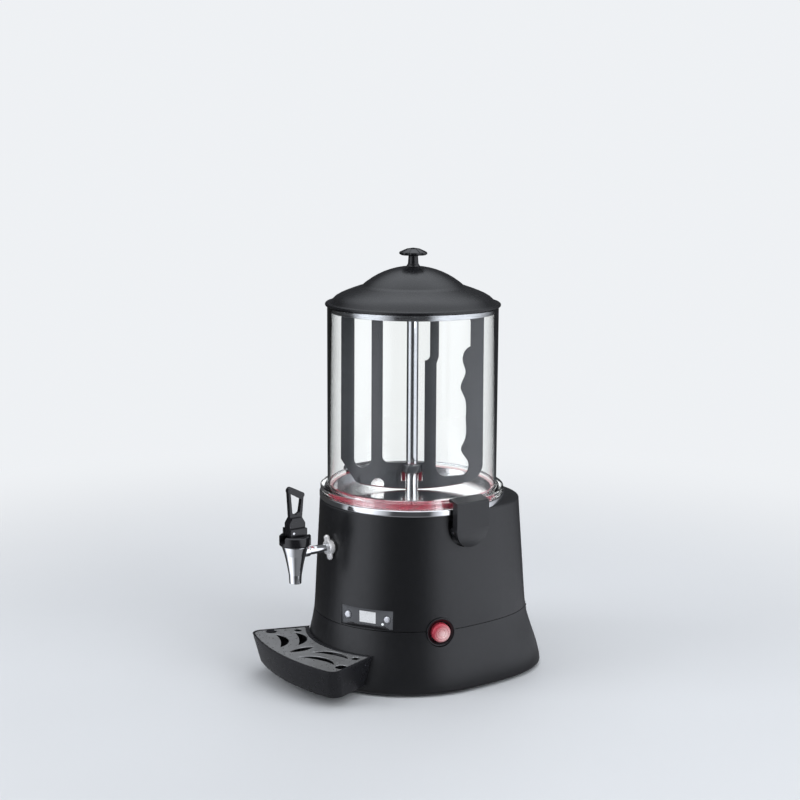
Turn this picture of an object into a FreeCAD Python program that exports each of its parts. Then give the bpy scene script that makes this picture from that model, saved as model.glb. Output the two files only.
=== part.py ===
"""Hot chocolate dispenser: clear heated bowl with a stirring paddle, on a flared plastic housing.

Every piece is drawn about the axis of the bowl, with z = 0 at the lower edge of the housing and the
tap on the -Y side. export() then moves it so that the origin is the middle of the footprint, on the
surface that the feet stand on. All sizes are in millimetres.
"""
import FreeCAD, Part
import math
import os
from FreeCAD import Vector as V

os.makedirs("parts", exist_ok=True)

# General clearances
SEAT_GAP = 0.2            # between a piece that lifts or turns and the face it rests on
SLIDE_GAP = 0.5           # between a sliding or swinging plastic piece and its guide
RUN_GAP = 0.06            # radial clearance of a shaft in its bush
FIT_GAP = 0.1             # around a fixed piece dropped into its opening

# Housing: plan outline at the deck and at the foot, and how it flares between them
DECK_Z = 237.5
DECK_HALF_WIDTH = 123.0
DECK_FRONT = 129.0
DECK_BACK = 142.0
DECK_SQUARENESS = 2.8     # exponent of the rear half of the outline
FOOT_HALF_WIDTH = 145.0
FOOT_FRONT = 153.0
FOOT_BACK = 171.5
BACK_REACH = 170.9        # rearmost point of the rounded foot
FOOT_SQUARENESS = 3.2
TAPER_SHARE = 0.52        # part of the flare that is an even taper
KICK_Z = 90.0             # height where the foot starts to kick out
WALL = 3.0
DECK_THICKNESS = 3.0
DECK_EDGE = 2.0
FOOT_EDGE = 4.0
SEAM_Z = 83.0             # joint line between the upper and the lower housing
SEAM_GAP = 0.8
LIP_HEIGHT = 6.0
LIP_WALL = 2.0
FOOT_RIM = 11.0           # width of the inward rim that carries the base plate

# Base plate, feet and screws
BASE_PLATE = 1.5
FOOT_R = 12.0
FOOT_GAP = 3.0            # height of the housing's lower edge above the table
FOOT_X = 84.0
FOOT_FRONT_Y = -88.0
FOOT_REAR_Y = 108.0
BOSS_R = 6.0
BOSS_ANGLE = 66.0         # from the front and from the back, as seen from the bowl's axis
SCREW_R = 2.0
SCREW_HEAD_R = 4.0
SCREW_HEAD = 2.5
SCREW_LENGTH = 14.0

# Bowl, its steel seat ring and gasket
RING_R = 127.6
RING_HEIGHT = 8.5
BOWL_R = 116.5
BOWL_WALL = 3.0
BOWL_TOP = 501.0
BOWL_FLANGE_R = 126.6
BOWL_FLANGE = 9.0
BOWL_FOOT_FILLET = 4.0
GASKET_WALL = 3.2
GASKET_CAP = 2.0

# Steel pan that closes the bottom of the bowl
PAN_R = 110.0
PAN_SHEET = 1.2
PAN_FLOOR_Z = 245.0
PAN_RIM = 7.0
OUTLET_Y = -88.0

# Centre column, drive shaft and paddle
COLUMN_R = 8.0
COLUMN_BORE = 6.0
COLUMN_TOP = 478.0
SHAFT_R = 4.0
BUSH_LENGTH = 12.0
PADDLE_AZIMUTH = 57.0     # direction that the paddle's flat face looks at, from the front towards +X
PADDLE_PLATE = 5.0
PADDLE_HALF = 98.5
PADDLE_BOTTOM = 247.0
PADDLE_TOP = 491.0
PADDLE_CORNER = 12.0
CROSSBAR = 12.0
OUTER_BAR = 18.5
WEB_TOP = 283.0
HUB_RING_Z = 270.0
HUB_RING = 10.0
HUB_RING_R = 13.0
HUB_WINDOW = 15.0
HUB_WINDOW_Z = 257.0
HUB_R = 11.0
HUB_RISE = 8.0
COLUMN_SWEEP_GAP = 0.6
HUB_GAP = 0.3
NOTCH_X = -47.5           # half-round notch in the lower edge
NOTCH_Z = 252.5
NOTCH_R = 9.0
PADDLE_CUT = ((-98.5, 289.0), (-78.0, 257.0))
PADDLE_HEEL = ((98.5, 279.0), (90.0, 262.5), (72.0, 254.7))
FIRST_SLOT = 23.5
FIRST_SLOT_FOOT = 288.0
SECOND_SLOT_LEFT = -41.0
SECOND_SLOT_RIGHT = 17.0
SECOND_SLOT_STEP = 7.0
SECOND_SLOT_STEP_Z = 421.0
SECOND_SLOT_ROUND = 8.0
WAVY_SLOT_LEFT = 33.0
WAVY_SLOT_STEP = 3.0
WAVY_SLOT_FOOT = 263.0
WAVY_SLOT_ROUND = 15.0
WAVY_SLOT_CORNER = 6.0
WAVE = ((80.0, 440.0), (70.5, 430.0), (69.5, 420.0), (73.5, 406.0), (67.0, 384.0), (72.0, 372.0),
        (74.5, 341.0), (72.5, 311.0), (68.3, 300.0), (77.5, 284.0), (78.5, 275.0), (72.0, 265.0))

# Water bath below the pan
TANK_R = 104.0
TANK_BOTTOM_Z = 150.0
TANK_SHEET = 1.2
TANK_RIM = 5.6
HEATER_RING_R = 62.0
HEATER_R = 4.0
HEATER_Z = 166.0
HEATER_LEG_Y = 12.0
HEATER_TAIL = 12.0
NUT_HEIGHT = 6.0
NUT_R = 8.5

# Outlet pipe, union and tap
PIPE_R = 8.0
PIPE_BORE = 6.0
PIPE_BEND = 13.0
TAP_Z = 184.0             # height of the tap's inlet
PIPE_END_Y = -112.0
SHANK_R = 5.6
SHANK_BORE = 3.6
UNION_R = 11.5
UNION_LENGTH = 9.0
WASHER_R = 11.0
WASHER_THICKNESS = 1.2
WING_HUB_R = 9.5
WING_HUB = 8.0
WING_SPAN = 17.0
WING_THICKNESS = 8.0
WING_SETBACK = 0.6        # wings' near side from the nut's seat
WING_TURN = 18.0          # wings turned about the shank, in degrees
TAP_Y = -190.0
TAP_TOP = 195.0
TAP_R = 17.8
TAP_WAIST_Z = 169.0
TAP_WAIST_R = 11.2
TAP_TIP_Z = 143.0
TAP_TIP_R = 8.0
TAP_BORE = 5.0
TAP_CHAMBER_R = 8.5
TAP_SEAT_Z = 172.0
TAP_BULGE_LOW = 0.8       # how far the cone bows outwards below and above its waist
TAP_BULGE_HIGH = 2.9
TAP_BOSS_WALL = 1.6
TAP_BOSS = 3.0            # boss round the shank, past the cone
BONNET_R = 21.0
BONNET_TOP = 209.0
BONNET_FLOOR = 201.0
BONNET_WELL_R = 15.0
BONNET_EDGE = 1.5
BONNET_WEB = 1.5          # floor left over the spring's pocket, and wall round the ears
EAR_HALF_LENGTH = 12.5
EAR_THICKNESS = 3.5
EAR_TOP = 219.0
LEVER_PIN_Z = 214.0
LEVER_PIN_OFFSET = 8.0    # pin in front of the tap's axis
LEVER_PIN_R = 1.6
STEM_R = 2.2
STEM_PIN_R = 1.5
STEM_COLLAR = 2.0
SEAL_R = 7.5
SEAL_HEIGHT = 4.0
SEAL_CHAMFER = 1.5
SPRING_R = 5.2
SPRING_WIRE = 0.7
SPRING_TURNS = 5.0
LEVER_BLOCK_WIDTH = 13.0
LEVER_BLOCK_HALF = 12.0
LEVER_BLOCK_BOTTOM = 205.5
LEVER_BLOCK_TOP = 226.0
LEVER_NECK_TOP = 233.0
LEVER_LOOP_WIDTH = 6.5
LEVER_BAR_R = 3.8
LEVER_FRONT_Y = -7.4      # ends of the sloping top bar, measured from the tap's axis
LEVER_FRONT_Z = 271.0
LEVER_REAR_Y = 9.4
LEVER_REAR_Z = 262.5
LEVER_LEG = 3.2
LEVER_FOOT = 9.0          # loop's half width where it leaves the block
LEVER_SILL = 4.0          # height of the block's top below the loop's opening
LEVER_SHOULDER = 4.5      # slope of the block's upper corners
LEVER_CHAMFER = 4.0
LEVER_SLOT_ROOM = 3.6     # stem slot's room each side, for the lever's swing
LEVER_SLOT_RISE = 4.5
STEM_PIN_GAP = 0.35
STEM_PIN_SLACK = 1.2      # extra room that the stem's pin slides along

# Latches that clamp the bowl's flange
LATCH_HALF = 26.5
LATCH_OUTER = 138.5       # outer face, from the bowl's axis
LATCH_PLATE = 4.0
LATCH_CHEEK = 4.0
LATCH_TOP_OUTER = 256.0
LATCH_TOP_INNER = 259.8
LATCH_REACH = 120.0       # tip of the hook, from the bowl's axis
LATCH_ROUND_Z = 220.0     # centre height of the round lower end
LATCH_FOOT_OUTER = 133.5
LATCH_PIN_X = 129.5
LATCH_PIN_Z = 215.5
LATCH_PIN_R = 2.0
LATCH_LUG_R = 4.4
LATCH_LUG_HALF = 9.0
LATCH_CHEEK_R = 6.5
RECESS_FLOOR = 114.0
RECESS_GAP = 1.5
RECESS_WALL = 3.0
RECESS_TOP = 229.0
LATCH_COIL_WIRE = 0.8
LATCH_COIL_TURNS = 5.0

# Drip tray and its grille
TRAY_TOP = 50.0
TRAY_BOTTOM = 11.0
TRAY_ARC_R = 300.0
TRAY_FRONT = 217.0
TRAY_CORNER_X = 106.0
TRAY_INNER_X = 77.0
TRAY_INNER_Y = -116.0
TRAY_DRAFT_FRONT = 10.0
TRAY_DRAFT_SIDE = 7.0
TRAY_CORNER_R = 14.0
TRAY_BACK = 26.0          # how far the outline runs on under the housing before it is cut
TRAY_WALL = 2.5
TRAY_GAP = 0.8            # between the tray and the housing
TRAY_REAR_WALL = 5.0          # wider, so the grille lies clear of the housing
TRAY_LEDGE = 2.0
GRILLE_SHEET = 1.5
GRILLE_DROP = 0.8         # grille's face below the tray's rim
GRILLE_LENS = ((0.0, -200.0), (0.0, -162.0), (6.5, -181.0), (-6.5, -181.0))
GRILLE_CRESCENTS = (((23.5, -200.5), (75.0, -177.5), (38.0, -177.5), (42.5, -187.5)),
                    ((17.5, -176.0), (68.0, -151.0), (31.0, -152.5), (36.5, -162.0)))
GRILLE_DISCS = ((88.0, -175.5, 8.0), (71.5, -142.0, 5.5))
TONGUE_X = 34.0
TONGUE_WIDTH = 16.0
TONGUE_THICKNESS = 3.0
TONGUE_Z = 30.0
TONGUE_REACH = 12.0
SLOT_GAP = 0.4

# Lid and knob
LID_LIP_R = 119.5
LID_LIP_BEAD = 2.7
LID_GROOVE_R = 113.0
LID_GROOVE_Z = 504.8
LID_CREASE_R = 67.5
LID_CREASE_Z = 530.6
LID_SHOULDER_R = 97.6
LID_SHOULDER_Z = 518.8
LID_APEX_Z = 555.5
LID_SHEET = 2.5
LID_GROOVE_RISE = 0.6
LID_CREASE_INSET = 1.5
LID_SEAT_WIDTH = 2.5
LID_STEP = 1.5
SKIRT_DROP = 7.6
SKIRT_SHEET = 1.0
KNOB_STEM_R = 7.0
KNOB_STEM_TOP = 570.0
KNOB_TOP = 580.0
KNOB_R = 19.5
KNOB_LOBES = 6
KNOB_NOTCH_R = 2.6
KNOB_SINK = 0.6           # stem's foot below the dome's top, before the dome is cut from it
KNOB_FOOT = 2.5
KNOB_TAPER = 0.6
KNOB_EDGE = 3.0
KNOB_RIM = 2.5

# Thermostat panel, set flat in the curved wall
PANEL_AZIMUTH = 29.2
PANEL_SHIFT = -4.6        # middle of the panel along its face, from the radius at that azimuth
PANEL_WIDTH = 76.0
PANEL_HEIGHT = 26.2
PANEL_Z = 97.7
PANEL_FACE = 128.0        # face of the panel, from the bowl's axis
PANEL_PLATE = 3.0
PANEL_BODY_DEPTH = 38.0
PANEL_FRAME = 2.5
BUTTON_R = 5.0
BUTTON_X = 29.0
BUTTON_PROUD = 1.6
BUTTON_GAP = 0.35
BUTTON_LIFT = 0.4         # button's foot above the controller, before it is pressed
BUTTON_TRAVEL_ROOM = 2.5
LCD_WIDTH = 24.0
LCD_HEIGHT = 15.5
LAMP_X = 22.5
LAMP_DROP = 7.0
LAMP_R = 1.6
LAMP_PROUD = 0.6
LCD_SHEET = 1.0
LCD_RECESS = 0.2
THERMOSTAT_INSET = 4.0

# Power button
SWITCH_AZIMUTH = 71.4
SWITCH_Z = 81.2
SWITCH_FACE = 133.2       # bezel's face, from the bowl's axis
BEZEL_R = 19.5
BEZEL_BORE = 14.4
BEZEL_DEPTH = 10.0
BEZEL_CHAMFER = 2.6
BEZEL_LAND = 1.2
CAP_R = 12.8
CAP_PROUD = 5.5
CAP_DEPTH = 9.0
CAP_CROWN = 2.2
CAP_GROOVE_R = 6.5
CAP_GROOVE = 1.8
CAP_GROOVE_DEPTH = 0.6
CAP_GROOVE_SLOPE = 0.5
SWITCH_FLANGE = 2.0
SWITCH_BODY = 25.0
SWITCH_BODY_DEPTH = 26.0

# Gear motor under the water bath
GEAR_MODULE = 1.0
GEAR_TEETH = 58
PINION_TEETH = 14
GEAR_WIDTH = 8.0
GEAR_Z = 122.0
GEAR_BACKLASH = 0.35      # taken off each tooth's half thickness, in millimetres of arc
GEAR_ADDENDUM = 1.0       # these four are in modules
GEAR_DEDENDUM = 1.25
GEAR_ROOT_FLARE = 0.62
GEAR_TIP_TAPER = 0.42
GEAR_HUB_R = 8.8
GEAR_HUB_RISE = 1.5
GEAR_ROOM = 3.0           # around and below the gears in their case
PINION_OVERLAP = 1.0      # pinion wider than the wheel, each side
CASE_X = 44.0
CASE_FRONT = -36.0
CASE_REAR = 56.0
CASE_Z = 114.0
CASE_WALL = 3.0
CASE_HEIGHT = 20.0
CASE_LID = 2.0
MOTOR_R = 27.0
MOTOR_HEIGHT = 62.0
MOTOR_SHAFT_R = 2.5
MOTOR_CAP = 6.0
MOTOR_CAP_INSET = 5.0
POST_R = 5.0
POST_INSET = 7.0

# Rear of the housing
INLET_X = 26.0
INLET_Z = 116.0
INLET_WIDTH = 28.0
INLET_HEIGHT = 20.0
INLET_DEPTH = 26.0
INLET_FLANGE = 3.0
INLET_FLANGE_SHEET = 2.0
INLET_WALL = 2.0
INLET_WELL = 17.0
INLET_PAD_EDGE = 1.0
INLET_BLADES = ((-7.0, -1.5), (0.0, 2.5), (7.0, -1.5))
BLADE_WIDTH = 2.0
BLADE_HEIGHT = 5.0
BLADE_LENGTH = 12.0
INLET_PAD = 0.6           # flat pad's height over the wall where it stands least proud
INLET_PAD_DEPTH = 14.0
VENT_X = -46.0
VENT_PITCH = 8.0
VENTS = 7
VENT_WIDTH = 3.5
VENT_LOW = 100.0
VENT_HIGH = 136.0
BOARD_X = -76.0
BOARD_Y = 36.0
BOARD_LENGTH = 50.0
BOARD_WIDTH = 76.0
BOARD_SHEET = 1.6
BOARD_RISE = 8.0
BOARD_POST_R = 2.5
BOARD_POST_INSET = 4.0
BOARD_BLOCKS = ((0.0, -22.0, 16.0, 20.0, 16.0), (14.0, 0.0, 12.0, 16.0, 15.0),
                (-7.0, 23.0, 18.0, 22.0, 20.0))
BOARD_CANS = ((-12.0, 2.0, 5.0, 14.0), (14.0, 18.0, 4.0, 11.0))
CUTOUT_X = -62.0
CUTOUT_Y = -30.0
CUTOUT_R = 9.0
CUTOUT_HEIGHT = 7.0
DRAIN_X = 40.0
DRAIN_Z = 60.0
DRAIN_R = 6.0
DRAIN_BORE = 4.0
DRAIN_CAP_R = 9.0
DRAIN_CAP = 10.0
DRAIN_TANK_Y = 80.0

OUTLINE_STEPS = 36
OVERCUT = 60.0            # how far a cutting block runs past what it cuts

# Sizes worked out from the ones above
RING_TOP = DECK_Z + RING_HEIGHT
BOWL_BORE = BOWL_R - BOWL_WALL
PAN_UNDER = PAN_FLOOR_Z - PAN_SHEET
SEAM_TOP = SEAM_Z + SEAM_GAP / 2
SEAM_BOTTOM = SEAM_Z - SEAM_GAP / 2
PLATE_Z = WALL + BASE_PLATE
TRAY_CENTRE = TRAY_ARC_R - TRAY_FRONT
FLANGE_TOP = RING_TOP + BOWL_FLANGE
CENTRE_DISTANCE = GEAR_MODULE * (GEAR_TEETH + PINION_TEETH) / 2
LID_SEAT = BOWL_TOP + SEAT_GAP
FOOTPRINT_MIDDLE = (BACK_REACH - TRAY_FRONT) / 2


def at_front(a, b):
    """Point of a profile drawn in the plane through the bowl's axis and the tap."""
    return V(0, a, b)


def at_side(a, b):
    """Point of a profile drawn in the plane through the bowl's axis and the latches."""
    return V(a, 0, b)


def in_plan(a, b):
    """Point of an outline drawn in plan."""
    return V(a, b, 0)


def wire(path, place):
    """Closed wire: each item is a corner, or a pair of points that an arc passes and ends at."""
    edges = []
    start = here = place(*path[0])
    for step in path[1:]:
        if isinstance(step[0], tuple):
            middle, end = place(*step[0]), place(*step[1])
            edges.append(Part.Arc(here, middle, end).toShape())
        else:
            end = place(*step)
            edges.append(Part.makeLine(here, end))
        here = end
    if here.distanceToPoint(start) > 1e-6:
        edges.append(Part.makeLine(here, start))
    return Part.Wire(edges)


def revolved(path):
    return Part.Face(wire(path, at_side)).revolve(V(0, 0, 0), V(0, 0, 1), 360)


def extruded(path, place, offset, length, direction):
    face = Part.Face(wire(path, place))
    face.translate(direction * offset)
    return face.extrude(direction * length)


def cylinder(radius, low, high, x=0.0, y=0.0):
    return Part.makeCylinder(radius, high - low, V(x, y, low))


def tube(radius, bore, low, high, x=0.0, y=0.0):
    return cylinder(radius, low, high, x, y).cut(cylinder(bore, low, high, x, y))


def rod(radius, start, end):
    return Part.makeCylinder(radius, (end - start).Length, start, end - start)


def box(x, y, z):
    return Part.makeBox(x[1] - x[0], y[1] - y[0], z[1] - z[0], V(x[0], y[0], z[0]))


def turned(shape, azimuth):
    """Turns a shape drawn at the front to an azimuth, measured from the front towards +X."""
    shape.rotate(V(0, 0, 0), V(0, 0, 1), azimuth)
    return shape


def mirrored(shape):
    return shape.mirror(V(0, 0, 0), V(1, 0, 0))


def both_sides(shape):
    return shape.fuse(mirrored(shape))


def group(shapes):
    return Part.makeCompound(shapes)


def hex_prism(across, low, high, x=0.0, y=0.0):
    corner = across / math.cos(math.pi / 6) / 2
    points = [V(x + corner * math.cos(math.pi * k / 3), y + corner * math.sin(math.pi * k / 3), low)
              for k in range(7)]
    return Part.Face(Part.makePolygon(points)).extrude(V(0, 0, high - low))


def export(name, shape):
    """Writes one piece, moved from the bowl's axis to the middle of the footprint, on the table."""
    placed = shape.copy()
    placed.translate(V(0, -FOOTPRINT_MIDDLE, FOOT_GAP))
    placed.exportStep("parts/" + name + ".step")


# Housing

def flare(z):
    """How far the outline has gone from the deck's (0) to the foot's (1) at a height."""
    taper = TAPER_SHARE * (DECK_Z - z) / DECK_Z
    kick = min(max((KICK_Z - z) / KICK_Z, 0.0), 1.0)
    return taper + (1 - TAPER_SHARE) * kick * kick * (3 - 2 * kick)


def housing_radius(angle, z, inset):
    """Radius of the housing's outline at an angle from the front towards +X, in radians."""
    share = flare(z)
    side = DECK_HALF_WIDTH + (FOOT_HALF_WIDTH - DECK_HALF_WIDTH) * share - inset
    front = DECK_FRONT + (FOOT_FRONT - DECK_FRONT) * share - inset
    back = DECK_BACK + (FOOT_BACK - DECK_BACK) * share - inset
    power = DECK_SQUARENESS + (FOOT_SQUARENESS - DECK_SQUARENESS) * share
    x, y = math.sin(angle), -math.cos(angle)
    if y < 0:
        return (abs(x / side) ** 2 + abs(y / front) ** 2) ** -0.5
    return (abs(x / side) ** power + abs(y / back) ** power) ** (-1 / power)


def housing_wire(z, inset):
    points = []
    for step in range(OUTLINE_STEPS):
        angle = 2 * math.pi * step / OUTLINE_STEPS
        radius = housing_radius(angle, z, inset)
        points.append(V(radius * math.sin(angle), -radius * math.cos(angle), z))
    curve = Part.BSplineCurve()
    curve.interpolate(points, PeriodicFlag=True)
    return Part.Wire(curve.toShape())


def housing_levels(low, high):
    """Heights of the sections: closer together where the foot kicks out."""
    levels = [low]
    while high - levels[-1] > 1e-6:
        step = KICK_Z / 6 if levels[-1] < KICK_Z else (DECK_Z - KICK_Z) / 4
        levels.append(min(levels[-1] + step, high))
    if len(levels) > 2 and levels[-1] - levels[-2] < 4:
        levels.pop(-2)
    return levels


def housing_block(low, high, inset):
    """Solid inside the housing's outline, between two heights."""
    return Part.makeLoft([housing_wire(z, inset) for z in housing_levels(low, high)], True, False)


def housing_crown(low, high):
    """Slab that rounds the housing's upper edge off in three steps."""
    drop = high - low
    turns = [math.radians(angle) for angle in (0, 30, 60, 90)]
    wires = [housing_wire(low + drop * math.sin(turn), drop * (1 - math.cos(turn))) for turn in turns]
    return Part.makeLoft(wires, True, True)


def rounded_edge(shape, z, radius):
    """Rounds the level outer edge at a height."""
    edges = [edge for edge in shape.Edges
             if edge.BoundBox.ZLength < 1e-3 and abs(edge.BoundBox.ZMin - z) < 1e-3]
    return shape.makeFillet(radius, edges)


def latch_outline(half, top, centre):
    """Outline of the latch seen from the side: straight at the top, half round below."""
    return [(-half, top), (-half, centre), ((0, centre - half), (half, centre)), (half, top)]


def latch_slab(half, top, x_low, x_high):
    return extruded(latch_outline(half, top, LATCH_ROUND_Z), at_front, x_low, x_high - x_low, V(1, 0, 0))


def latch_recess():
    return latch_slab(LATCH_HALF + RECESS_GAP, RECESS_TOP, RECESS_FLOOR, LATCH_OUTER)


def latch_lug():
    """Lug on the housing that carries the latch's pin."""
    body = box((RECESS_FLOOR - RECESS_WALL, LATCH_PIN_X), (-LATCH_LUG_HALF, LATCH_LUG_HALF),
               (LATCH_PIN_Z - LATCH_LUG_R, LATCH_PIN_Z + LATCH_LUG_R))
    start = V(LATCH_PIN_X, -LATCH_LUG_HALF, LATCH_PIN_Z)
    end = V(LATCH_PIN_X, LATCH_LUG_HALF, LATCH_PIN_Z)
    return body.fuse(rod(LATCH_LUG_R, start, end)).cut(rod(LATCH_PIN_R, start, end))


def panel_block(width, height, n_low, n_high, z=PANEL_Z, x=0.0):
    """Block on the thermostat panel: width and place along it, and from n_low to n_high outwards."""
    middle = PANEL_SHIFT + x
    shape = box((middle - width / 2, middle + width / 2), (-n_high, -n_low),
                (z - height / 2, z + height / 2))
    return turned(shape, PANEL_AZIMUTH)


def panel_rod(radius, n_low, n_high, x, z):
    middle = PANEL_SHIFT + x
    return turned(rod(radius, V(middle, -n_low, z), V(middle, -n_high, z)), PANEL_AZIMUTH)


def switch_rod(radius, n_low, n_high):
    return turned(rod(radius, V(0, -n_low, SWITCH_Z), V(0, -n_high, SWITCH_Z)), SWITCH_AZIMUTH)


def switch_hole():
    return switch_rod(BEZEL_R + FIT_GAP, SWITCH_FACE - OVERCUT / 3, SWITCH_FACE + OVERCUT / 3)


def below(z):
    """Block that takes away everything below a height."""
    return box((-3 * OVERCUT, 3 * OVERCUT), (-3 * OVERCUT, 3 * OVERCUT), (-OVERCUT, z))


def screw_places():
    """Bosses run down the inside of the lower housing and join its wall near the top."""
    places = []
    for angle in (math.radians(BOSS_ANGLE), math.radians(180 - BOSS_ANGLE)):
        radius = housing_radius(angle, SEAM_BOTTOM - LIP_HEIGHT, WALL) - BOSS_R / 2
        places += [(sign * radius * math.sin(angle), -radius * math.cos(angle)) for sign in (-1, 1)]
    return places


def front_wall(z):
    return housing_radius(0.0, z, 0.0)


def back_wall(z):
    return housing_radius(math.pi, z, 0.0)


def inlet_face():
    """Face of the flat pad that the power inlet sits on, just proud of the curved wall."""
    x = INLET_X - INLET_WIDTH / 2 - INLET_FLANGE
    z = INLET_Z - INLET_HEIGHT / 2 - INLET_FLANGE
    angle = math.pi - math.atan2(x, back_wall(z))
    return -housing_radius(angle, z, 0.0) * math.cos(angle) + INLET_PAD


def inlet_pad():
    edge = INLET_FLANGE + INLET_PAD_EDGE
    half, rise = INLET_WIDTH / 2 + edge, INLET_HEIGHT / 2 + edge
    return box((INLET_X - half, INLET_X + half), (inlet_face() - INLET_PAD_DEPTH, inlet_face()),
               (INLET_Z - rise, INLET_Z + rise))


def through_rear(x, half, low, high):
    """Block that cuts a rectangular hole through the rear wall."""
    wall = back_wall(INLET_Z)
    return box((x - half, x + half), (wall - OVERCUT / 3, wall + OVERCUT), (low, high))


def vent_slots():
    first = VENT_X - (VENTS - 1) / 2 * VENT_PITCH
    return [through_rear(first + k * VENT_PITCH, VENT_WIDTH / 2, VENT_LOW, VENT_HIGH)
            for k in range(VENTS)]


def upper_housing():
    """Shell with the deck, the latches' recesses and lugs, and the openings in its walls."""
    edge_z = DECK_Z - DECK_EDGE
    outer = housing_block(SEAM_TOP, edge_z, 0.0).fuse(housing_crown(edge_z, DECK_Z))
    shell = outer.cut(housing_block(SEAM_Z - LIP_HEIGHT, DECK_Z - DECK_THICKNESS, WALL))
    shell = shell.cut(vent_slots())
    backing = latch_slab(LATCH_HALF + RECESS_GAP + RECESS_WALL, RECESS_TOP + RECESS_WALL,
                         RECESS_FLOOR - RECESS_WALL, LATCH_OUTER)
    frame = panel_block(PANEL_WIDTH + 2 * PANEL_FRAME, PANEL_HEIGHT + 2 * PANEL_FRAME,
                        PANEL_FACE - PANEL_PLATE, PANEL_FACE + OVERCUT / 4)
    frame = frame.cut(below(SEAM_TOP))
    for piece in (both_sides(backing).common(outer), frame.common(outer), inlet_pad()):
        shell = shell.fuse(piece)
    opening = panel_block(PANEL_WIDTH, PANEL_HEIGHT, PANEL_FACE - 2 * PANEL_PLATE,
                          PANEL_FACE + OVERCUT / 2)
    wall = front_wall(TAP_Z)
    shank = rod(SHANK_R + FIT_GAP, V(0, -wall + OVERCUT / 3, TAP_Z), V(0, -wall - OVERCUT / 3, TAP_Z))
    socket = through_rear(INLET_X, INLET_WIDTH / 2 + FIT_GAP, INLET_Z - INLET_HEIGHT / 2 - FIT_GAP,
                          INLET_Z + INLET_HEIGHT / 2 + FIT_GAP)
    well = cylinder(TANK_R + FIT_GAP, DECK_Z - OVERCUT, DECK_Z + 1)
    for hole in (well, both_sides(latch_recess()), opening, switch_hole(), shank, socket):
        shell = shell.cut(hole)
    return shell.fuse(both_sides(latch_lug()))


def tray_slots():
    """Slots in the lower housing that the drip tray's tongues hang in."""
    half, rise = TONGUE_WIDTH / 2 + SLOT_GAP, TONGUE_THICKNESS / 2 + SLOT_GAP
    wall = front_wall(TONGUE_Z)
    slot = box((TONGUE_X - half, TONGUE_X + half), (-wall - OVERCUT, -wall + OVERCUT / 2),
               (TONGUE_Z - rise, TONGUE_Z + rise))
    return both_sides(slot)


def lower_housing():
    outer = rounded_edge(housing_block(0.0, SEAM_BOTTOM, 0.0), 0.0, FOOT_EDGE)
    cavity = housing_block(WALL, SEAM_Z + LIP_HEIGHT, WALL)
    mouth = housing_block(-1.0, WALL + 1.0, FOOT_RIM)
    lip_low = SEAM_BOTTOM - LIP_HEIGHT
    root = housing_block(lip_low, SEAM_BOTTOM, WALL - 0.5).cut(
        housing_block(lip_low - 1, SEAM_Z + 1, WALL + SLIDE_GAP + LIP_WALL))
    lip = housing_block(SEAM_BOTTOM, SEAM_Z + LIP_HEIGHT, WALL + FIT_GAP).cut(
        housing_block(SEAM_BOTTOM - 1, SEAM_Z + LIP_HEIGHT + 1, WALL + SLIDE_GAP + LIP_WALL))
    bosses = [cylinder(BOSS_R, PLATE_Z, lip_low, x, y) for x, y in screw_places()]
    shell = outer.cut([cavity, mouth]).fuse([root, lip] + [boss.common(outer) for boss in bosses])
    room = panel_block(PANEL_WIDTH + 3 * PANEL_FRAME, PANEL_HEIGHT + 2 * PANEL_FRAME + LIP_HEIGHT,
                       PANEL_FACE - OVERCUT, PANEL_FACE + OVERCUT / 4)
    room = room.cut(below(SEAM_BOTTOM))
    holes = [cylinder(SCREW_R, 0, PLATE_Z + SCREW_LENGTH, x, y) for x, y in screw_places()]
    return shell.cut([room, switch_hole(), tray_slots()] + holes)


def base_plate():
    plate = housing_block(WALL, PLATE_Z, WALL + FIT_GAP)
    holes = [cylinder(SCREW_R, 0, PLATE_Z + 1, x, y) for x, y in screw_places()]
    for k in range(VENTS):
        y = -30.0 + k * VENT_PITCH * 2
        holes.append(box((-42, -12), (y, y + VENT_WIDTH), (0, PLATE_Z + 1)))
        holes.append(box((12, 42), (y, y + VENT_WIDTH), (0, PLATE_Z + 1)))
    return plate.cut(holes)


def foot_places():
    return [(sign * FOOT_X, y) for sign in (-1, 1) for y in (FOOT_FRONT_Y, FOOT_REAR_Y)]


def rubber_feet():
    feet = []
    for x, y in foot_places():
        foot = revolved([(0, -FOOT_GAP), (FOOT_R - 2, -FOOT_GAP), (FOOT_R, WALL), (0, WALL)])
        foot.translate(V(x, y, 0))
        feet.append(foot)
    return group(feet)


def housing_screws():
    """Screws through the base plate into the bosses of the lower housing."""
    screws = []
    for x, y in screw_places():
        head = cylinder(SCREW_HEAD_R, WALL - SCREW_HEAD, WALL, x, y)
        screws.append(head.fuse(cylinder(SCREW_R, WALL, WALL + SCREW_LENGTH, x, y)))
    return group(screws)


# Bowl and pan

def seat_ring():
    edge = 1.5
    return revolved([(PAN_R, DECK_Z), (RING_R - edge, DECK_Z), (RING_R, DECK_Z + edge),
                     (RING_R, RING_TOP - edge),
                     ((RING_R - 0.3 * edge, RING_TOP - 0.3 * edge), (RING_R - edge, RING_TOP)),
                     (PAN_R, RING_TOP)])


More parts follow.
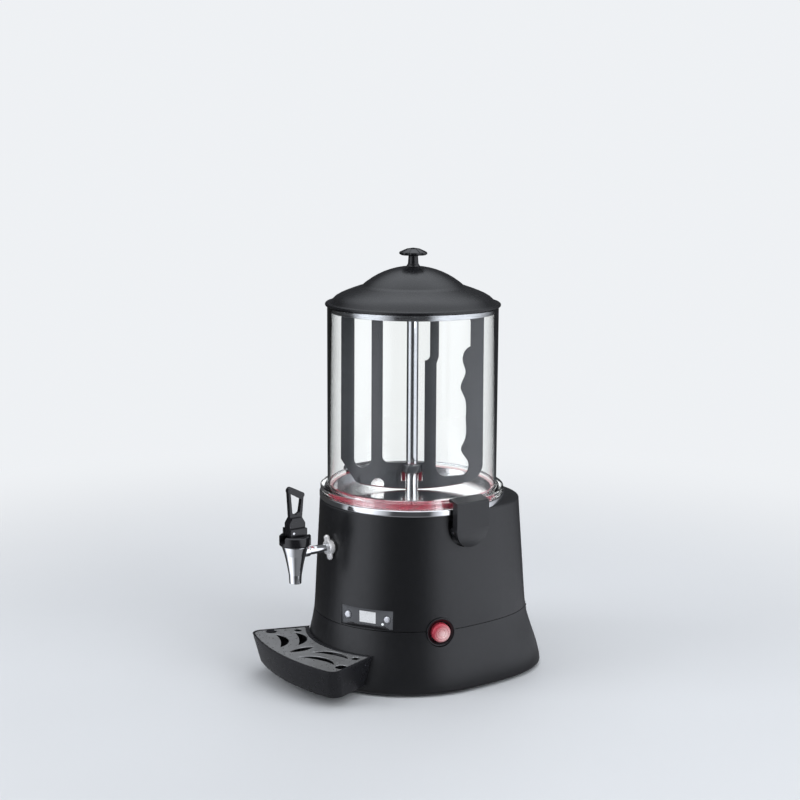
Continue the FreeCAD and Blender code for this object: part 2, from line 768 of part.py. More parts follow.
def bowl():
    fillet = BOWL_FOOT_FILLET
    soft = fillet * (1 - math.sqrt(0.5))
    edge = 1.5
    return revolved([(BOWL_BORE, RING_TOP), (BOWL_FLANGE_R - edge, RING_TOP),
                     (BOWL_FLANGE_R, RING_TOP + edge),
                     (BOWL_FLANGE_R, FLANGE_TOP - edge),
                     ((BOWL_FLANGE_R - 0.3 * edge, FLANGE_TOP - 0.3 * edge),
                      (BOWL_FLANGE_R - edge, FLANGE_TOP)),
                     (BOWL_R + fillet, FLANGE_TOP),
                     ((BOWL_R + soft, FLANGE_TOP + soft), (BOWL_R, FLANGE_TOP + fillet)),
                     (BOWL_R, BOWL_TOP), (BOWL_BORE, BOWL_TOP)])


def bowl_gasket():
    outer = PAN_R + GASKET_WALL
    rim = PAN_FLOOR_Z + PAN_RIM
    inner = PAN_R - PAN_SHEET
    return revolved([(PAN_R, RING_TOP), (outer, RING_TOP), (outer, rim), (outer - 1, rim + GASKET_CAP),
                     (inner, rim + GASKET_CAP), (inner, rim), (PAN_R, rim)])


def pan():
    """Steel floor of the bowl, with an upstanding rim, the outlet and the column's hole."""
    rim = PAN_FLOOR_Z + PAN_RIM
    inner = PAN_R - PAN_SHEET
    sheet = revolved([(COLUMN_R, PAN_UNDER), (PAN_R, PAN_UNDER), (PAN_R, rim), (inner, rim),
                      (inner, PAN_FLOOR_Z), (COLUMN_R, PAN_FLOOR_Z)])
    return sheet.cut(cylinder(PIPE_BORE, PAN_UNDER - 1, PAN_FLOOR_Z + 1, 0, OUTLET_Y))


def column():
    return tube(COLUMN_R, COLUMN_BORE, TANK_BOTTOM_Z - NUT_HEIGHT, COLUMN_TOP)


def column_bushes():
    bottom = TANK_BOTTOM_Z - NUT_HEIGHT
    spans = ((bottom, bottom + BUSH_LENGTH), (COLUMN_TOP - BUSH_LENGTH, COLUMN_TOP))
    return group([tube(COLUMN_BORE, SHAFT_R + RUN_GAP, low, high) for low, high in spans])


# Water bath

def water_tank():
    shell = revolved([(COLUMN_R, TANK_BOTTOM_Z), (TANK_R, TANK_BOTTOM_Z), (TANK_R, DECK_Z),
                      (TANK_R + TANK_RIM, DECK_Z), (TANK_R + TANK_RIM, DECK_Z + TANK_SHEET),
                      (TANK_R - TANK_SHEET, DECK_Z + TANK_SHEET),
                      (TANK_R - TANK_SHEET, TANK_BOTTOM_Z + TANK_SHEET),
                      (COLUMN_R, TANK_BOTTOM_Z + TANK_SHEET)])
    pipe = rod(PIPE_R, V(0, OUTLET_Y, TAP_Z), V(0, -TANK_R - 5, TAP_Z))
    legs = [cylinder(HEATER_R, TANK_BOTTOM_Z - 1, HEATER_Z, x, y) for x, y in heater_legs()]
    drain = cylinder(DRAIN_R, TANK_BOTTOM_Z - 1, TANK_BOTTOM_Z + 2, DRAIN_X, DRAIN_TANK_Y)
    return shell.cut([pipe, drain] + legs)


def tank_seal():
    return tube(TANK_R + TANK_RIM, TANK_R - TANK_SHEET, DECK_Z + TANK_SHEET, PAN_UNDER)


def heater_legs():
    x = math.sqrt(HEATER_RING_R ** 2 - HEATER_LEG_Y ** 2)
    return [(x, -HEATER_LEG_Y), (x, HEATER_LEG_Y)]


def heating_element():
    gap = math.degrees(math.asin(HEATER_LEG_Y / HEATER_RING_R))
    ring = Part.makeTorus(HEATER_RING_R, HEATER_R, V(0, 0, 0), V(0, 0, 1), -180, 180, 360 - 2 * gap)
    ring.rotate(V(0, 0, 0), V(0, 0, 1), gap)
    ring.translate(V(0, 0, HEATER_Z))
    shape = ring
    for x, y in heater_legs():
        shape = shape.fuse([Part.makeSphere(HEATER_R, V(x, y, HEATER_Z)),
                            cylinder(HEATER_R, TANK_BOTTOM_Z - HEATER_TAIL, HEATER_Z, x, y)])
    return shape


def heater_nuts():
    low = TANK_BOTTOM_Z - NUT_HEIGHT
    return [hex_prism(2 * NUT_R, low, TANK_BOTTOM_Z, x, y).cut(
                cylinder(HEATER_R, low, TANK_BOTTOM_Z, x, y))
            for x, y in heater_legs()]


def column_nut():
    low = TANK_BOTTOM_Z - NUT_HEIGHT
    return hex_prism(3 * COLUMN_R, low, TANK_BOTTOM_Z).cut(cylinder(COLUMN_R, low, TANK_BOTTOM_Z))


def tank_nuts():
    """Nuts that clamp the column and the heating element to the tank's floor."""
    return group([column_nut()] + heater_nuts())


def thermal_cutout():
    low = TANK_BOTTOM_Z - CUTOUT_HEIGHT
    disc = cylinder(CUTOUT_R, low, TANK_BOTTOM_Z, CUTOUT_X, CUTOUT_Y)
    blade = box((CUTOUT_X - 3, CUTOUT_X + 3), (CUTOUT_Y - 0.4, CUTOUT_Y + 0.4), (low - 8, low))
    other = blade.copy()
    blade.translate(V(0, -5, 0))
    other.translate(V(0, 5, 0))
    return disc.fuse([blade, other])


def drain_run(radius):
    """Drain from the tank's floor down, round a bend and out through the rear wall."""
    bend = 2.5 * DRAIN_R
    top = V(DRAIN_X, DRAIN_TANK_Y, TANK_BOTTOM_Z + TANK_SHEET)
    knee = V(DRAIN_X, DRAIN_TANK_Y, DRAIN_Z + bend)
    turn = V(DRAIN_X, DRAIN_TANK_Y + bend * (1 - math.sqrt(0.5)), DRAIN_Z + bend * (1 - math.sqrt(0.5)))
    heel = V(DRAIN_X, DRAIN_TANK_Y + bend, DRAIN_Z)
    end = V(DRAIN_X, back_wall(DRAIN_Z) + 3, DRAIN_Z)
    path = Part.Wire([Part.makeLine(top, knee), Part.Arc(knee, turn, heel).toShape(),
                      Part.makeLine(heel, end)])
    return path.makePipeShell([Part.Wire(Part.makeCircle(radius, top, V(0, 0, -1)))], True, True)


def drain_pipe():
    return drain_run(DRAIN_R).cut(drain_run(DRAIN_BORE))


def drain_hole():
    end = back_wall(DRAIN_Z) + OVERCUT / 2
    return rod(DRAIN_R, V(DRAIN_X, DRAIN_TANK_Y + WALL, DRAIN_Z), V(DRAIN_X, end, DRAIN_Z))


def drain_cap():
    start = back_wall(DRAIN_Z) + 3
    cap = rod(DRAIN_CAP_R, V(DRAIN_X, start, DRAIN_Z), V(DRAIN_X, start + DRAIN_CAP, DRAIN_Z))
    grips = []
    for k in range(12):
        angle = math.pi * k / 6
        place = V(DRAIN_X + DRAIN_CAP_R * math.cos(angle), start, DRAIN_Z + DRAIN_CAP_R * math.sin(angle))
        grips.append(rod(1.0, place, place + V(0, DRAIN_CAP, 0)))
    return cap.cut(grips)


# Outlet and tap

def outlet_pipe():
    bend = PIPE_BEND
    top = V(0, OUTLET_Y, PAN_UNDER)
    knee = V(0, OUTLET_Y, TAP_Z + bend)
    turn = V(0, OUTLET_Y - bend * (1 - math.sqrt(0.5)), TAP_Z + bend * (1 - math.sqrt(0.5)))
    heel = V(0, OUTLET_Y - bend, TAP_Z)
    end = V(0, PIPE_END_Y, TAP_Z)
    path = Part.Wire([Part.makeLine(top, knee), Part.Arc(knee, turn, heel).toShape(),
                      Part.makeLine(heel, end)])
    runs = [path.makePipeShell([Part.Wire(Part.makeCircle(radius, top, V(0, 0, -1)))], True, True)
            for radius in (PIPE_R, PIPE_BORE)]
    return runs[0].cut(runs[1])


def shank_along(radius, start, end):
    return rod(radius, V(0, start, TAP_Z), V(0, end, TAP_Z))


def outlet_union():
    """Nut that clamps the outlet pipe's end to the tap's shank, inside the front wall."""
    start, end = PIPE_END_Y + UNION_LENGTH / 3, PIPE_END_Y - 2 * UNION_LENGTH / 3
    nut = hex_prism(2 * UNION_R, 0, UNION_LENGTH)
    nut.rotate(V(0, 0, 0), V(1, 0, 0), 90)
    nut.translate(V(0, start, TAP_Z))
    return nut.cut([shank_along(PIPE_R, start + 1, PIPE_END_Y), shank_along(SHANK_R, start, end - 1)])


def tap_shank():
    start, end = PIPE_END_Y, TAP_Y + TAP_CHAMBER_R
    return shank_along(SHANK_R, start, end).cut(shank_along(SHANK_BORE, start + 1, end - 1))


def tap_washers():
    """Rubber washers that follow the wall, inside and outside."""
    outside = shank_along(WASHER_R, -front_wall(TAP_Z) + WALL, -front_wall(TAP_Z) - WASHER_THICKNESS)
    outside = outside.cut(housing_block(SEAM_TOP, DECK_Z, 0.0))
    inside = shank_along(WASHER_R, -front_wall(TAP_Z) + 2 * WALL, -front_wall(TAP_Z))
    inside = inside.common(housing_block(SEAM_Z - LIP_HEIGHT, DECK_Z - DECK_THICKNESS, WALL))
    hole = shank_along(SHANK_R, PIPE_END_Y, TAP_Y)
    return group([outside.cut(hole), inside.cut(hole)])


def wing_nut():
    start = -front_wall(TAP_Z) - WASHER_THICKNESS
    hub = shank_along(WING_HUB_R, start, start - WING_HUB)
    turn, reach = math.radians(WING_TURN), WING_SPAN - WING_THICKNESS / 2
    root = V(0, start - WING_SETBACK - WING_THICKNESS / 2, TAP_Z)
    wings = []
    for sign in (-1, 1):
        tip = root + V(-math.sin(turn), 0, math.cos(turn)) * sign * reach
        wings.append(rod(WING_THICKNESS / 2, root, tip))
        wings.append(Part.makeSphere(WING_THICKNESS / 2, tip))
    return hub.fuse(wings).cut(shank_along(SHANK_R, start + 1, start - WING_HUB - 1))


def at_tap(shape):
    shape.translate(V(0, TAP_Y, 0))
    return shape


def tap_body():
    """Chrome cone with the spout's bore, the valve chamber and the seat between them."""
    mid_z = (TAP_TOP + TAP_WAIST_Z) / 2
    low_z = (TAP_WAIST_Z + TAP_TIP_Z) / 2
    outer = at_tap(revolved([(0, TAP_TIP_Z), (TAP_TIP_R, TAP_TIP_Z),
                             ((TAP_TIP_R + TAP_BULGE_LOW, low_z), (TAP_WAIST_R, TAP_WAIST_Z)),
                             ((TAP_WAIST_R + TAP_BULGE_HIGH, mid_z), (TAP_R, TAP_TOP)), (0, TAP_TOP)]))
    boss = shank_along(SHANK_R + TAP_BOSS_WALL, TAP_Y, TAP_Y + TAP_R + TAP_BOSS)
    cuts = [cylinder(TAP_BORE, TAP_TIP_Z - 1, TAP_SEAT_Z + 1, 0, TAP_Y),
            cylinder(TAP_CHAMBER_R, TAP_SEAT_Z, TAP_TOP + 1, 0, TAP_Y),
            shank_along(SHANK_R, TAP_Y + TAP_CHAMBER_R, TAP_Y + TAP_R + TAP_BOSS + 1),
            shank_along(SHANK_BORE, TAP_Y, TAP_Y + TAP_R)]
    return outer.fuse(boss).cut(cuts)


def tap_bonnet():
    """Castellated black nut that closes the tap and carries the lever between two ears."""
    edge = BONNET_EDGE
    nut = at_tap(revolved([(0, TAP_TOP), (BONNET_R - edge, TAP_TOP), (BONNET_R, TAP_TOP + edge),
                           (BONNET_R, BONNET_TOP - edge), (BONNET_R - edge, BONNET_TOP), (0, BONNET_TOP)]))
    inner = LEVER_BLOCK_WIDTH / 2 + SLIDE_GAP
    ears = [box((inner, inner + EAR_THICKNESS), (TAP_Y - EAR_HALF_LENGTH, TAP_Y + EAR_HALF_LENGTH),
                (BONNET_FLOOR, EAR_TOP))]
    ears.append(mirrored(ears[0]))
    outline = cylinder(BONNET_WELL_R + BONNET_WEB, BONNET_FLOOR, EAR_TOP, 0, TAP_Y)
    well = cylinder(BONNET_WELL_R, BONNET_FLOOR, BONNET_TOP + 1, 0, TAP_Y)
    notch = box((-LEVER_BLOCK_WIDTH / 2 - SLIDE_GAP, LEVER_BLOCK_WIDTH / 2 + SLIDE_GAP),
                (TAP_Y - BONNET_R - 1, TAP_Y + BONNET_R + 1), (BONNET_FLOOR, BONNET_TOP + 1))
    pin_y = TAP_Y - LEVER_PIN_OFFSET
    pin = rod(LEVER_PIN_R, V(-BONNET_R, pin_y, LEVER_PIN_Z), V(BONNET_R, pin_y, LEVER_PIN_Z))
    shell = nut.cut([well, notch]).fuse([ear.common(outline) for ear in ears])
    stem = cylinder(STEM_R + FIT_GAP, TAP_TOP - 1, EAR_TOP, 0, TAP_Y)
    pocket = cylinder(SPRING_R + SPRING_WIRE + SLIDE_GAP, TAP_TOP - 1, BONNET_FLOOR - BONNET_WEB, 0, TAP_Y)
    return shell.cut([pin, stem, pocket])


def lever_pin():
    y = TAP_Y - LEVER_PIN_OFFSET
    half = LEVER_BLOCK_WIDTH / 2 + SLIDE_GAP + EAR_THICKNESS
    return rod(LEVER_PIN_R, V(-half, y, LEVER_PIN_Z), V(half, y, LEVER_PIN_Z))


def lever_loop():
    """Two slim legs joined by a sloping round bar, drawn from the side."""
    slope = math.atan2(LEVER_FRONT_Z - LEVER_REAR_Z, LEVER_REAR_Y - LEVER_FRONT_Y)
    bar, foot, leg = LEVER_BAR_R, LEVER_FOOT, LEVER_LEG
    up = (bar * math.sin(slope), bar * math.cos(slope))
    front, rear = (LEVER_FRONT_Y, LEVER_FRONT_Z), (LEVER_REAR_Y, LEVER_REAR_Z)
    outer = [(-foot, LEVER_NECK_TOP - LEVER_SHOULDER / 2), (front[0] - bar, front[1] - bar),
             ((front[0] - bar * 0.72, front[1] + bar * 0.7), (front[0] + up[0], front[1] + up[1])),
             (rear[0] + up[0], rear[1] + up[1]),
             ((rear[0] + bar, rear[1]), (rear[0] + bar * 0.6, rear[1] - bar * 0.8)),
             (foot, LEVER_NECK_TOP - LEVER_SHOULDER / 2)]
    sill = LEVER_NECK_TOP + LEVER_SILL
    inner = [(-foot + leg, sill + leg), ((0.0, sill), (foot - leg, sill + leg)),
             (rear[0] + bar * 0.6 - leg, rear[1] - 1.5 * bar),
             (front[0] - bar + leg, front[1] - 1.3 * bar)]
    half = LEVER_LOOP_WIDTH / 2
    loop = extruded(outer, at_front, -half, LEVER_LOOP_WIDTH, V(1, 0, 0))
    return loop.cut(extruded(inner, at_front, -half - 1, LEVER_LOOP_WIDTH + 2, V(1, 0, 0)))


def tap_lever():
    """Loop handle on a block that swings on the pin and lifts the stem with its slot."""
    half, bottom = LEVER_BLOCK_HALF, LEVER_BLOCK_BOTTOM
    neck, chamfer = half - LEVER_SHOULDER, half - LEVER_CHAMFER
    block = extruded([(-half, bottom + LEVER_CHAMFER), (-half, LEVER_BLOCK_TOP), (-neck, LEVER_NECK_TOP),
                      (neck, LEVER_NECK_TOP), (half, LEVER_BLOCK_TOP), (half, bottom + LEVER_CHAMFER),
                      (chamfer, bottom), (-chamfer, bottom)],
                     at_front, -LEVER_BLOCK_WIDTH / 2, LEVER_BLOCK_WIDTH, V(1, 0, 0))
    stem_half, reach = STEM_R + SLIDE_GAP, STEM_R + LEVER_SLOT_ROOM
    stem_slot = box((-stem_half, stem_half), (-reach, reach),
                    (bottom - 1, LEVER_PIN_Z + STEM_R + LEVER_SLOT_RISE))
    rise = STEM_PIN_R + STEM_PIN_GAP
    pin_slot = box((-LEVER_BLOCK_WIDTH, LEVER_BLOCK_WIDTH), (-rise, rise + STEM_PIN_SLACK),
                   (LEVER_PIN_Z - rise, LEVER_PIN_Z + rise))
    pivot = rod(LEVER_PIN_R + RUN_GAP, V(-half, -LEVER_PIN_OFFSET, LEVER_PIN_Z),
                V(half, -LEVER_PIN_OFFSET, LEVER_PIN_Z))
    return at_tap(block.fuse(lever_loop()).cut([stem_slot, pin_slot, pivot]))


def valve_stem():
    low = TAP_SEAT_Z + SEAT_GAP + SEAL_HEIGHT
    stem = cylinder(STEM_R, low, LEVER_PIN_Z + STEM_R, 0, TAP_Y)
    collar = cylinder(SPRING_R + SPRING_WIRE, low, low + STEM_COLLAR, 0, TAP_Y)
    bore = rod(STEM_PIN_R, V(-STEM_R, TAP_Y, LEVER_PIN_Z), V(STEM_R, TAP_Y, LEVER_PIN_Z))
    return stem.fuse(collar).cut(bore)


def stem_pin():
    half = LEVER_BLOCK_WIDTH / 2 - 0.5
    return rod(STEM_PIN_R, V(-half, TAP_Y, LEVER_PIN_Z), V(half, TAP_Y, LEVER_PIN_Z))


def valve_seal():
    low = TAP_SEAT_Z + SEAT_GAP
    return at_tap(revolved([(0, low), (SEAL_R - SEAL_CHAMFER, low), (SEAL_R, low + SEAL_HEIGHT / 2),
                            (SEAL_R, low + SEAL_HEIGHT), (0, low + SEAL_HEIGHT)]))


def coil(radius, wire_radius, pitch, turns):
    """Helical spring along +Z from the origin."""
    path = Part.makeHelix(pitch, pitch * turns, radius)
    section = Part.Wire(Part.makeCircle(wire_radius, V(radius, 0, 0), V(0, 1, 0)))
    return Part.Wire(path).makePipeShell([section], True, True)


def valve_spring():
    low = TAP_SEAT_Z + SEAT_GAP + SEAL_HEIGHT + STEM_COLLAR + SPRING_WIRE
    high = BONNET_FLOOR - BONNET_WEB - SPRING_WIRE
    spring = coil(SPRING_R, SPRING_WIRE, (high - low) / SPRING_TURNS, SPRING_TURNS)
    spring.translate(V(0, TAP_Y, low))
    return spring


# Latches

def latch_side():
    """Side view of the latch's cheek: hook at the top, round at the pin, tapered foot."""
    hook_low = FLANGE_TOP + 0.4
    clear = RING_R + 0.9
    pin_x, pin_z, reach = LATCH_PIN_X, LATCH_PIN_Z, LATCH_CHEEK_R
    foot = LATCH_ROUND_Z - LATCH_HALF - 1
    return [(LATCH_REACH, hook_low), (LATCH_REACH, LATCH_TOP_INNER - 1),
            (LATCH_REACH + 1, LATCH_TOP_INNER),
            (LATCH_OUTER - 2.5, LATCH_TOP_OUTER),
            ((LATCH_OUTER - 0.6, LATCH_TOP_OUTER - 1.2), (LATCH_OUTER, LATCH_TOP_OUTER - 3.2)),
            (LATCH_OUTER, LATCH_PIN_Z + 4),
            ((LATCH_OUTER - 1.0, LATCH_PIN_Z - 8), (LATCH_FOOT_OUTER, foot)),
            (LATCH_FOOT_OUTER - LATCH_PLATE, foot), (pin_x - 1, pin_z - reach),
            ((pin_x - reach, pin_z), (pin_x - 1, pin_z + reach)),
            (clear, pin_z + reach + 4), (clear, hook_low)]


def latch():
    """Right-hand latch: outer plate and hook, hollow behind between two cheeks."""
    solid = extruded(latch_side(), at_side, -LATCH_HALF, 2 * LATCH_HALF, V(0, 1, 0))
    solid = solid.common(latch_slab(LATCH_HALF, LATCH_TOP_INNER + 1, LATCH_REACH - 10, LATCH_OUTER + 10))
    inner = LATCH_HALF - LATCH_CHEEK
    skin = [(LATCH_REACH - 5, LATCH_PIN_Z - OVERCUT),
            (LATCH_FOOT_OUTER - LATCH_PLATE, LATCH_PIN_Z - OVERCUT),
            (LATCH_FOOT_OUTER - LATCH_PLATE, LATCH_ROUND_Z - LATCH_HALF - 1),
            ((LATCH_OUTER - LATCH_PLATE - 1.0, LATCH_PIN_Z - 8),
             (LATCH_OUTER - LATCH_PLATE, LATCH_PIN_Z + 4)),
            (LATCH_OUTER - LATCH_PLATE, FLANGE_TOP - LATCH_PLATE),
            (LATCH_REACH - 5, FLANGE_TOP - LATCH_PLATE)]
    hollow = extruded(skin, at_side, -inner, 2 * inner, V(0, 1, 0))
    pin = rod(LATCH_PIN_R + RUN_GAP, V(LATCH_PIN_X, -LATCH_HALF - 1, LATCH_PIN_Z),
              V(LATCH_PIN_X, LATCH_HALF + 1, LATCH_PIN_Z))
    return solid.cut([hollow, pin])


def latch_pin():
    return rod(LATCH_PIN_R, V(LATCH_PIN_X, -LATCH_HALF, LATCH_PIN_Z),
               V(LATCH_PIN_X, LATCH_HALF, LATCH_PIN_Z))


def latch_spring():
    """Torsion spring wound round the pin, beside the lug."""
    pitch = 2 * LATCH_COIL_WIRE + 0.1
    spring = coil(LATCH_PIN_R + LATCH_COIL_WIRE + 0.3, LATCH_COIL_WIRE, pitch, LATCH_COIL_TURNS)
    spring.rotate(V(0, 0, 0), V(1, 0, 0), -90)
    spring.translate(V(LATCH_PIN_X, LATCH_LUG_HALF + LATCH_COIL_WIRE + 0.2, LATCH_PIN_Z))
    return spring


# Drip tray

def tray_corner(radius, corner, inner, fillet):
    """Rounded front corner of the tray: where it leaves the front arc, its middle and its end."""
    centre = V(0, TRAY_CENTRE, 0)
    along = (inner - corner).normalize()
    inward = V(-along.y, along.x, 0)
    start = corner + inward * fillet - centre
    half = start.dot(along)
    reach = -half - math.sqrt(half ** 2 - start.dot(start) + (radius - fillet) ** 2)
    hub = centre + start + along * reach
    first = centre + (hub - centre).normalize() * radius
    last = corner + along * reach
    middle = hub + ((first - hub) + (last - hub)).normalize() * fillet
    return first, middle, last


def tray_outline(front, corner_x, inner_x, fillet, z):
    """Plan of the tray: front arc, rounded corners, slanted ends and a back that the housing cuts."""
    radius = front + TRAY_CENTRE
    corner = V(corner_x, TRAY_CENTRE - math.sqrt(radius ** 2 - corner_x ** 2), 0)
    first, middle, last = tray_corner(radius, corner, V(inner_x, TRAY_INNER_Y, 0), fillet)
    back = TRAY_INNER_Y + TRAY_BACK
    path = [(-first.x, first.y), ((0, -front), (first.x, first.y)),
            ((middle.x, middle.y), (last.x, last.y)),
            (inner_x, TRAY_INNER_Y), (inner_x, back), (-inner_x, back), (-inner_x, TRAY_INNER_Y),
            (-last.x, last.y), ((-middle.x, middle.y), (-first.x, first.y))]
    return wire(path, lambda a, b: V(a, b, z))


def tray_block(low, high, inset):
    """Tapered block of the tray, inset from its outer faces, with rounded corners."""
    sections = []
    for z in (low, high):
        draft = (TRAY_TOP - z) / (TRAY_TOP - TRAY_BOTTOM)
        front = TRAY_FRONT - TRAY_DRAFT_FRONT * draft - inset
        corner = TRAY_CORNER_X - TRAY_DRAFT_SIDE * draft - inset * 1.3
        inner = TRAY_INNER_X - TRAY_DRAFT_SIDE * draft - inset * 1.1
        sections.append(tray_outline(front, corner, inner, TRAY_CORNER_R - inset, z))
    return Part.makeLoft(sections, True, True)


def tray_solid(low, high, inset, gap):
    keep = housing_block(0.0, SEAM_BOTTOM, -gap)
    return tray_block(low, high, inset).cut(keep)


def tray_tongue():
    """Tongue that hangs the tray in its slot in the housing."""
    half, rise = TONGUE_WIDTH / 2, TONGUE_THICKNESS / 2
    angle = math.asin(TONGUE_X / front_wall(TONGUE_Z))
    wall = housing_radius(angle, TONGUE_Z, 0.0) * math.cos(angle)
    return box((TONGUE_X - half, TONGUE_X + half),
               (-wall - TRAY_GAP - TRAY_REAR_WALL, -wall + TONGUE_REACH),
               (TONGUE_Z - rise, TONGUE_Z + rise))


def drip_tray():
    body = tray_solid(TRAY_BOTTOM, TRAY_TOP, 0.0, TRAY_GAP)
    ledge_z = TRAY_TOP - GRILLE_DROP - GRILLE_SHEET
    rim = tray_solid(ledge_z, TRAY_TOP + 1, TRAY_WALL, TRAY_GAP + TRAY_REAR_WALL)
    basin = tray_solid(TRAY_BOTTOM + TRAY_WALL, ledge_z + 1, TRAY_WALL + TRAY_LEDGE,
                       TRAY_GAP + TRAY_REAR_WALL + TRAY_LEDGE)
    tongues = both_sides(tray_tongue()).cut(housing_block(0.0, SEAM_BOTTOM, TONGUE_REACH + WALL))
    tongues = tongues.cut(basin)
    return body.cut([rim, basin]).fuse(tongues)


def crescent(start, end, outer, inner, mirror):
    """Crescent hole between two arcs with common ends; mirror is -1 for the left-hand one."""
    path = [start, (outer, end), (inner, start)]
    path = [tuple((mirror * a, b) for a, b in step) if isinstance(step[0], tuple)
            else (mirror * step[0], step[1]) for step in path]
    return extruded(path, in_plan, TRAY_BOTTOM, TRAY_TOP, V(0, 0, 1))


def grille_holes():
    """Round holes at the corners, two crescents a side and a lens slot on the centre line."""
    holes = [crescent(*GRILLE_LENS, 1)]
    for side in (-1, 1):
        holes += [cylinder(radius, TRAY_BOTTOM, TRAY_TOP + 1, side * x, y)
                  for x, y, radius in GRILLE_DISCS]
        holes += [crescent(*points, side) for points in GRILLE_CRESCENTS]
    return holes


def drip_grille():
    ledge_z = TRAY_TOP - GRILLE_DROP - GRILLE_SHEET
    plate = tray_solid(ledge_z + SEAT_GAP, TRAY_TOP - GRILLE_DROP + SEAT_GAP, TRAY_WALL + SLIDE_GAP,
                       TRAY_GAP + TRAY_REAR_WALL + SLIDE_GAP)
    return plate.cut(grille_holes())


# Lid

def dome_radius():
    sag = LID_APEX_Z - LID_CREASE_Z
    return (LID_CREASE_R ** 2 + sag ** 2) / (2 * sag)


def lid():
    outer = dome_radius()
    centre = LID_APEX_Z - outer
    inner = outer - LID_SHEET
    crease = LID_CREASE_R - LID_CREASE_INSET
    crease_z = centre + math.sqrt(inner ** 2 - crease ** 2)
    half = LID_CREASE_R / 2
    bead = LID_LIP_BEAD
    bead_r, bead_z = LID_LIP_R - bead, LID_SEAT + bead
    seat = BOWL_BORE - SKIRT_SHEET - LID_SEAT_WIDTH
    return revolved([
        (0, LID_APEX_Z),
        ((half, centre + math.sqrt(outer ** 2 - half ** 2)), (LID_CREASE_R, LID_CREASE_Z)),
        ((LID_SHOULDER_R, LID_SHOULDER_Z), (LID_GROOVE_R, LID_GROOVE_Z + LID_GROOVE_RISE)),
        (LID_GROOVE_R + LID_GROOVE_RISE, LID_GROOVE_Z),
        (bead_r - bead * 0.5, bead_z + bead * 0.8),
        ((bead_r + bead * 0.5, bead_z + bead * 0.866), (LID_LIP_R, bead_z)),
        ((bead_r + bead * 0.707, bead_z - bead * 0.707), (bead_r, LID_SEAT)),
        (seat, LID_SEAT),
        (seat, LID_SEAT + LID_STEP),
        ((LID_SHOULDER_R - LID_SHEET, LID_SHOULDER_Z - LID_SHEET), (crease, crease_z)),
        ((half, centre + math.sqrt(inner ** 2 - half ** 2)), (0, LID_APEX_Z - LID_SHEET))])


def lid_skirt():
    outer = BOWL_BORE - SLIDE_GAP
    return tube(outer, outer - SKIRT_SHEET, LID_SEAT - SKIRT_DROP, LID_SEAT)


def lid_knob():
    """Round knob on a stem: a low dome with notches between its lobes."""
    neck = KNOB_STEM_R
    low = LID_APEX_Z - KNOB_SINK
    body = revolved([(0, low), (neck + KNOB_FOOT, low), (neck, LID_APEX_Z + KNOB_FOOT),
                     (neck - KNOB_TAPER, KNOB_STEM_TOP), (KNOB_R - KNOB_EDGE, KNOB_STEM_TOP),
                     (KNOB_R, KNOB_STEM_TOP + KNOB_RIM),
                     ((KNOB_R * 0.62, KNOB_TOP - 1.6), (0, KNOB_TOP))])
    notches = []
    for k in range(KNOB_LOBES):
        angle = 2 * math.pi * (k + 0.5) / KNOB_LOBES
        place = V(math.cos(angle), math.sin(angle), 0) * (KNOB_R + KNOB_TAPER)
        notches.append(cylinder(KNOB_NOTCH_R, KNOB_STEM_TOP - 1, KNOB_TOP, place.x, place.y))
    dome = Part.makeSphere(dome_radius(), V(0, 0, LID_APEX_Z - dome_radius()))
    return body.cut(notches + [dome, cylinder(SCREW_R, LID_APEX_Z - 2, KNOB_STEM_TOP)])


def knob_screw():
    under = LID_APEX_Z - LID_SHEET
    head = cylinder(SCREW_HEAD_R, under - SCREW_HEAD - 0.3, under - 0.3)
    return head.fuse(cylinder(SCREW_R, under - 0.3, KNOB_STEM_TOP))


def lid_with_hole():
    return lid().cut(cylinder(SCREW_R, LID_APEX_Z - 20, LID_APEX_Z + 1))


# Paddle and drive

def at_paddle(shape):
    """Turns a shape drawn across the front to the paddle's rest direction."""
    return turned(shape, PADDLE_AZIMUTH)


def paddle_outline():
    half, corner = PADDLE_HALF, PADDLE_CORNER
    soft = corner * (1 - math.sqrt(0.5))
    return [(-half, PADDLE_CUT[0][1]), (-half, PADDLE_TOP - corner),
            ((-half + soft, PADDLE_TOP - soft), (-half + corner, PADDLE_TOP)), (half - corner, PADDLE_TOP),
            ((half - soft, PADDLE_TOP - soft), (half, PADDLE_TOP - corner)), (half, PADDLE_HEEL[0][1]),
            (PADDLE_HEEL[1], PADDLE_HEEL[2]),
            ((0, PADDLE_BOTTOM), (-PADDLE_HEEL[2][0], PADDLE_HEEL[2][1])),
            PADDLE_CUT[1]]


def first_slot():
    """Narrow slot beside the left-hand bar, round at its foot."""
    top, foot, left = PADDLE_TOP - CROSSBAR, FIRST_SLOT_FOOT, -PADDLE_HALF + OUTER_BAR
    right = left + FIRST_SLOT
    return [(left, foot), (left, top), (right, top), (right, foot),
            (((left + right) / 2, foot - FIRST_SLOT / 2), (left, foot))]


def second_slot():
    """Wide slot round the column; its right-hand bar gets broader below a step."""
    top, round_r = PADDLE_TOP - CROSSBAR, SECOND_SLOT_ROUND
    left, right = SECOND_SLOT_LEFT, SECOND_SLOT_RIGHT
    step, step_z, soft = SECOND_SLOT_STEP, SECOND_SLOT_STEP_Z, round_r * (1 - math.sqrt(0.5))
    return [(left, WEB_TOP + round_r), (left, top), (right + step, top), (right + step, step_z + step),
            ((right + step * 0.7, step_z + step * 0.3), (right, step_z)), (right, WEB_TOP),
            (left + round_r, WEB_TOP), ((left + soft, WEB_TOP + soft), (left, WEB_TOP + round_r))]


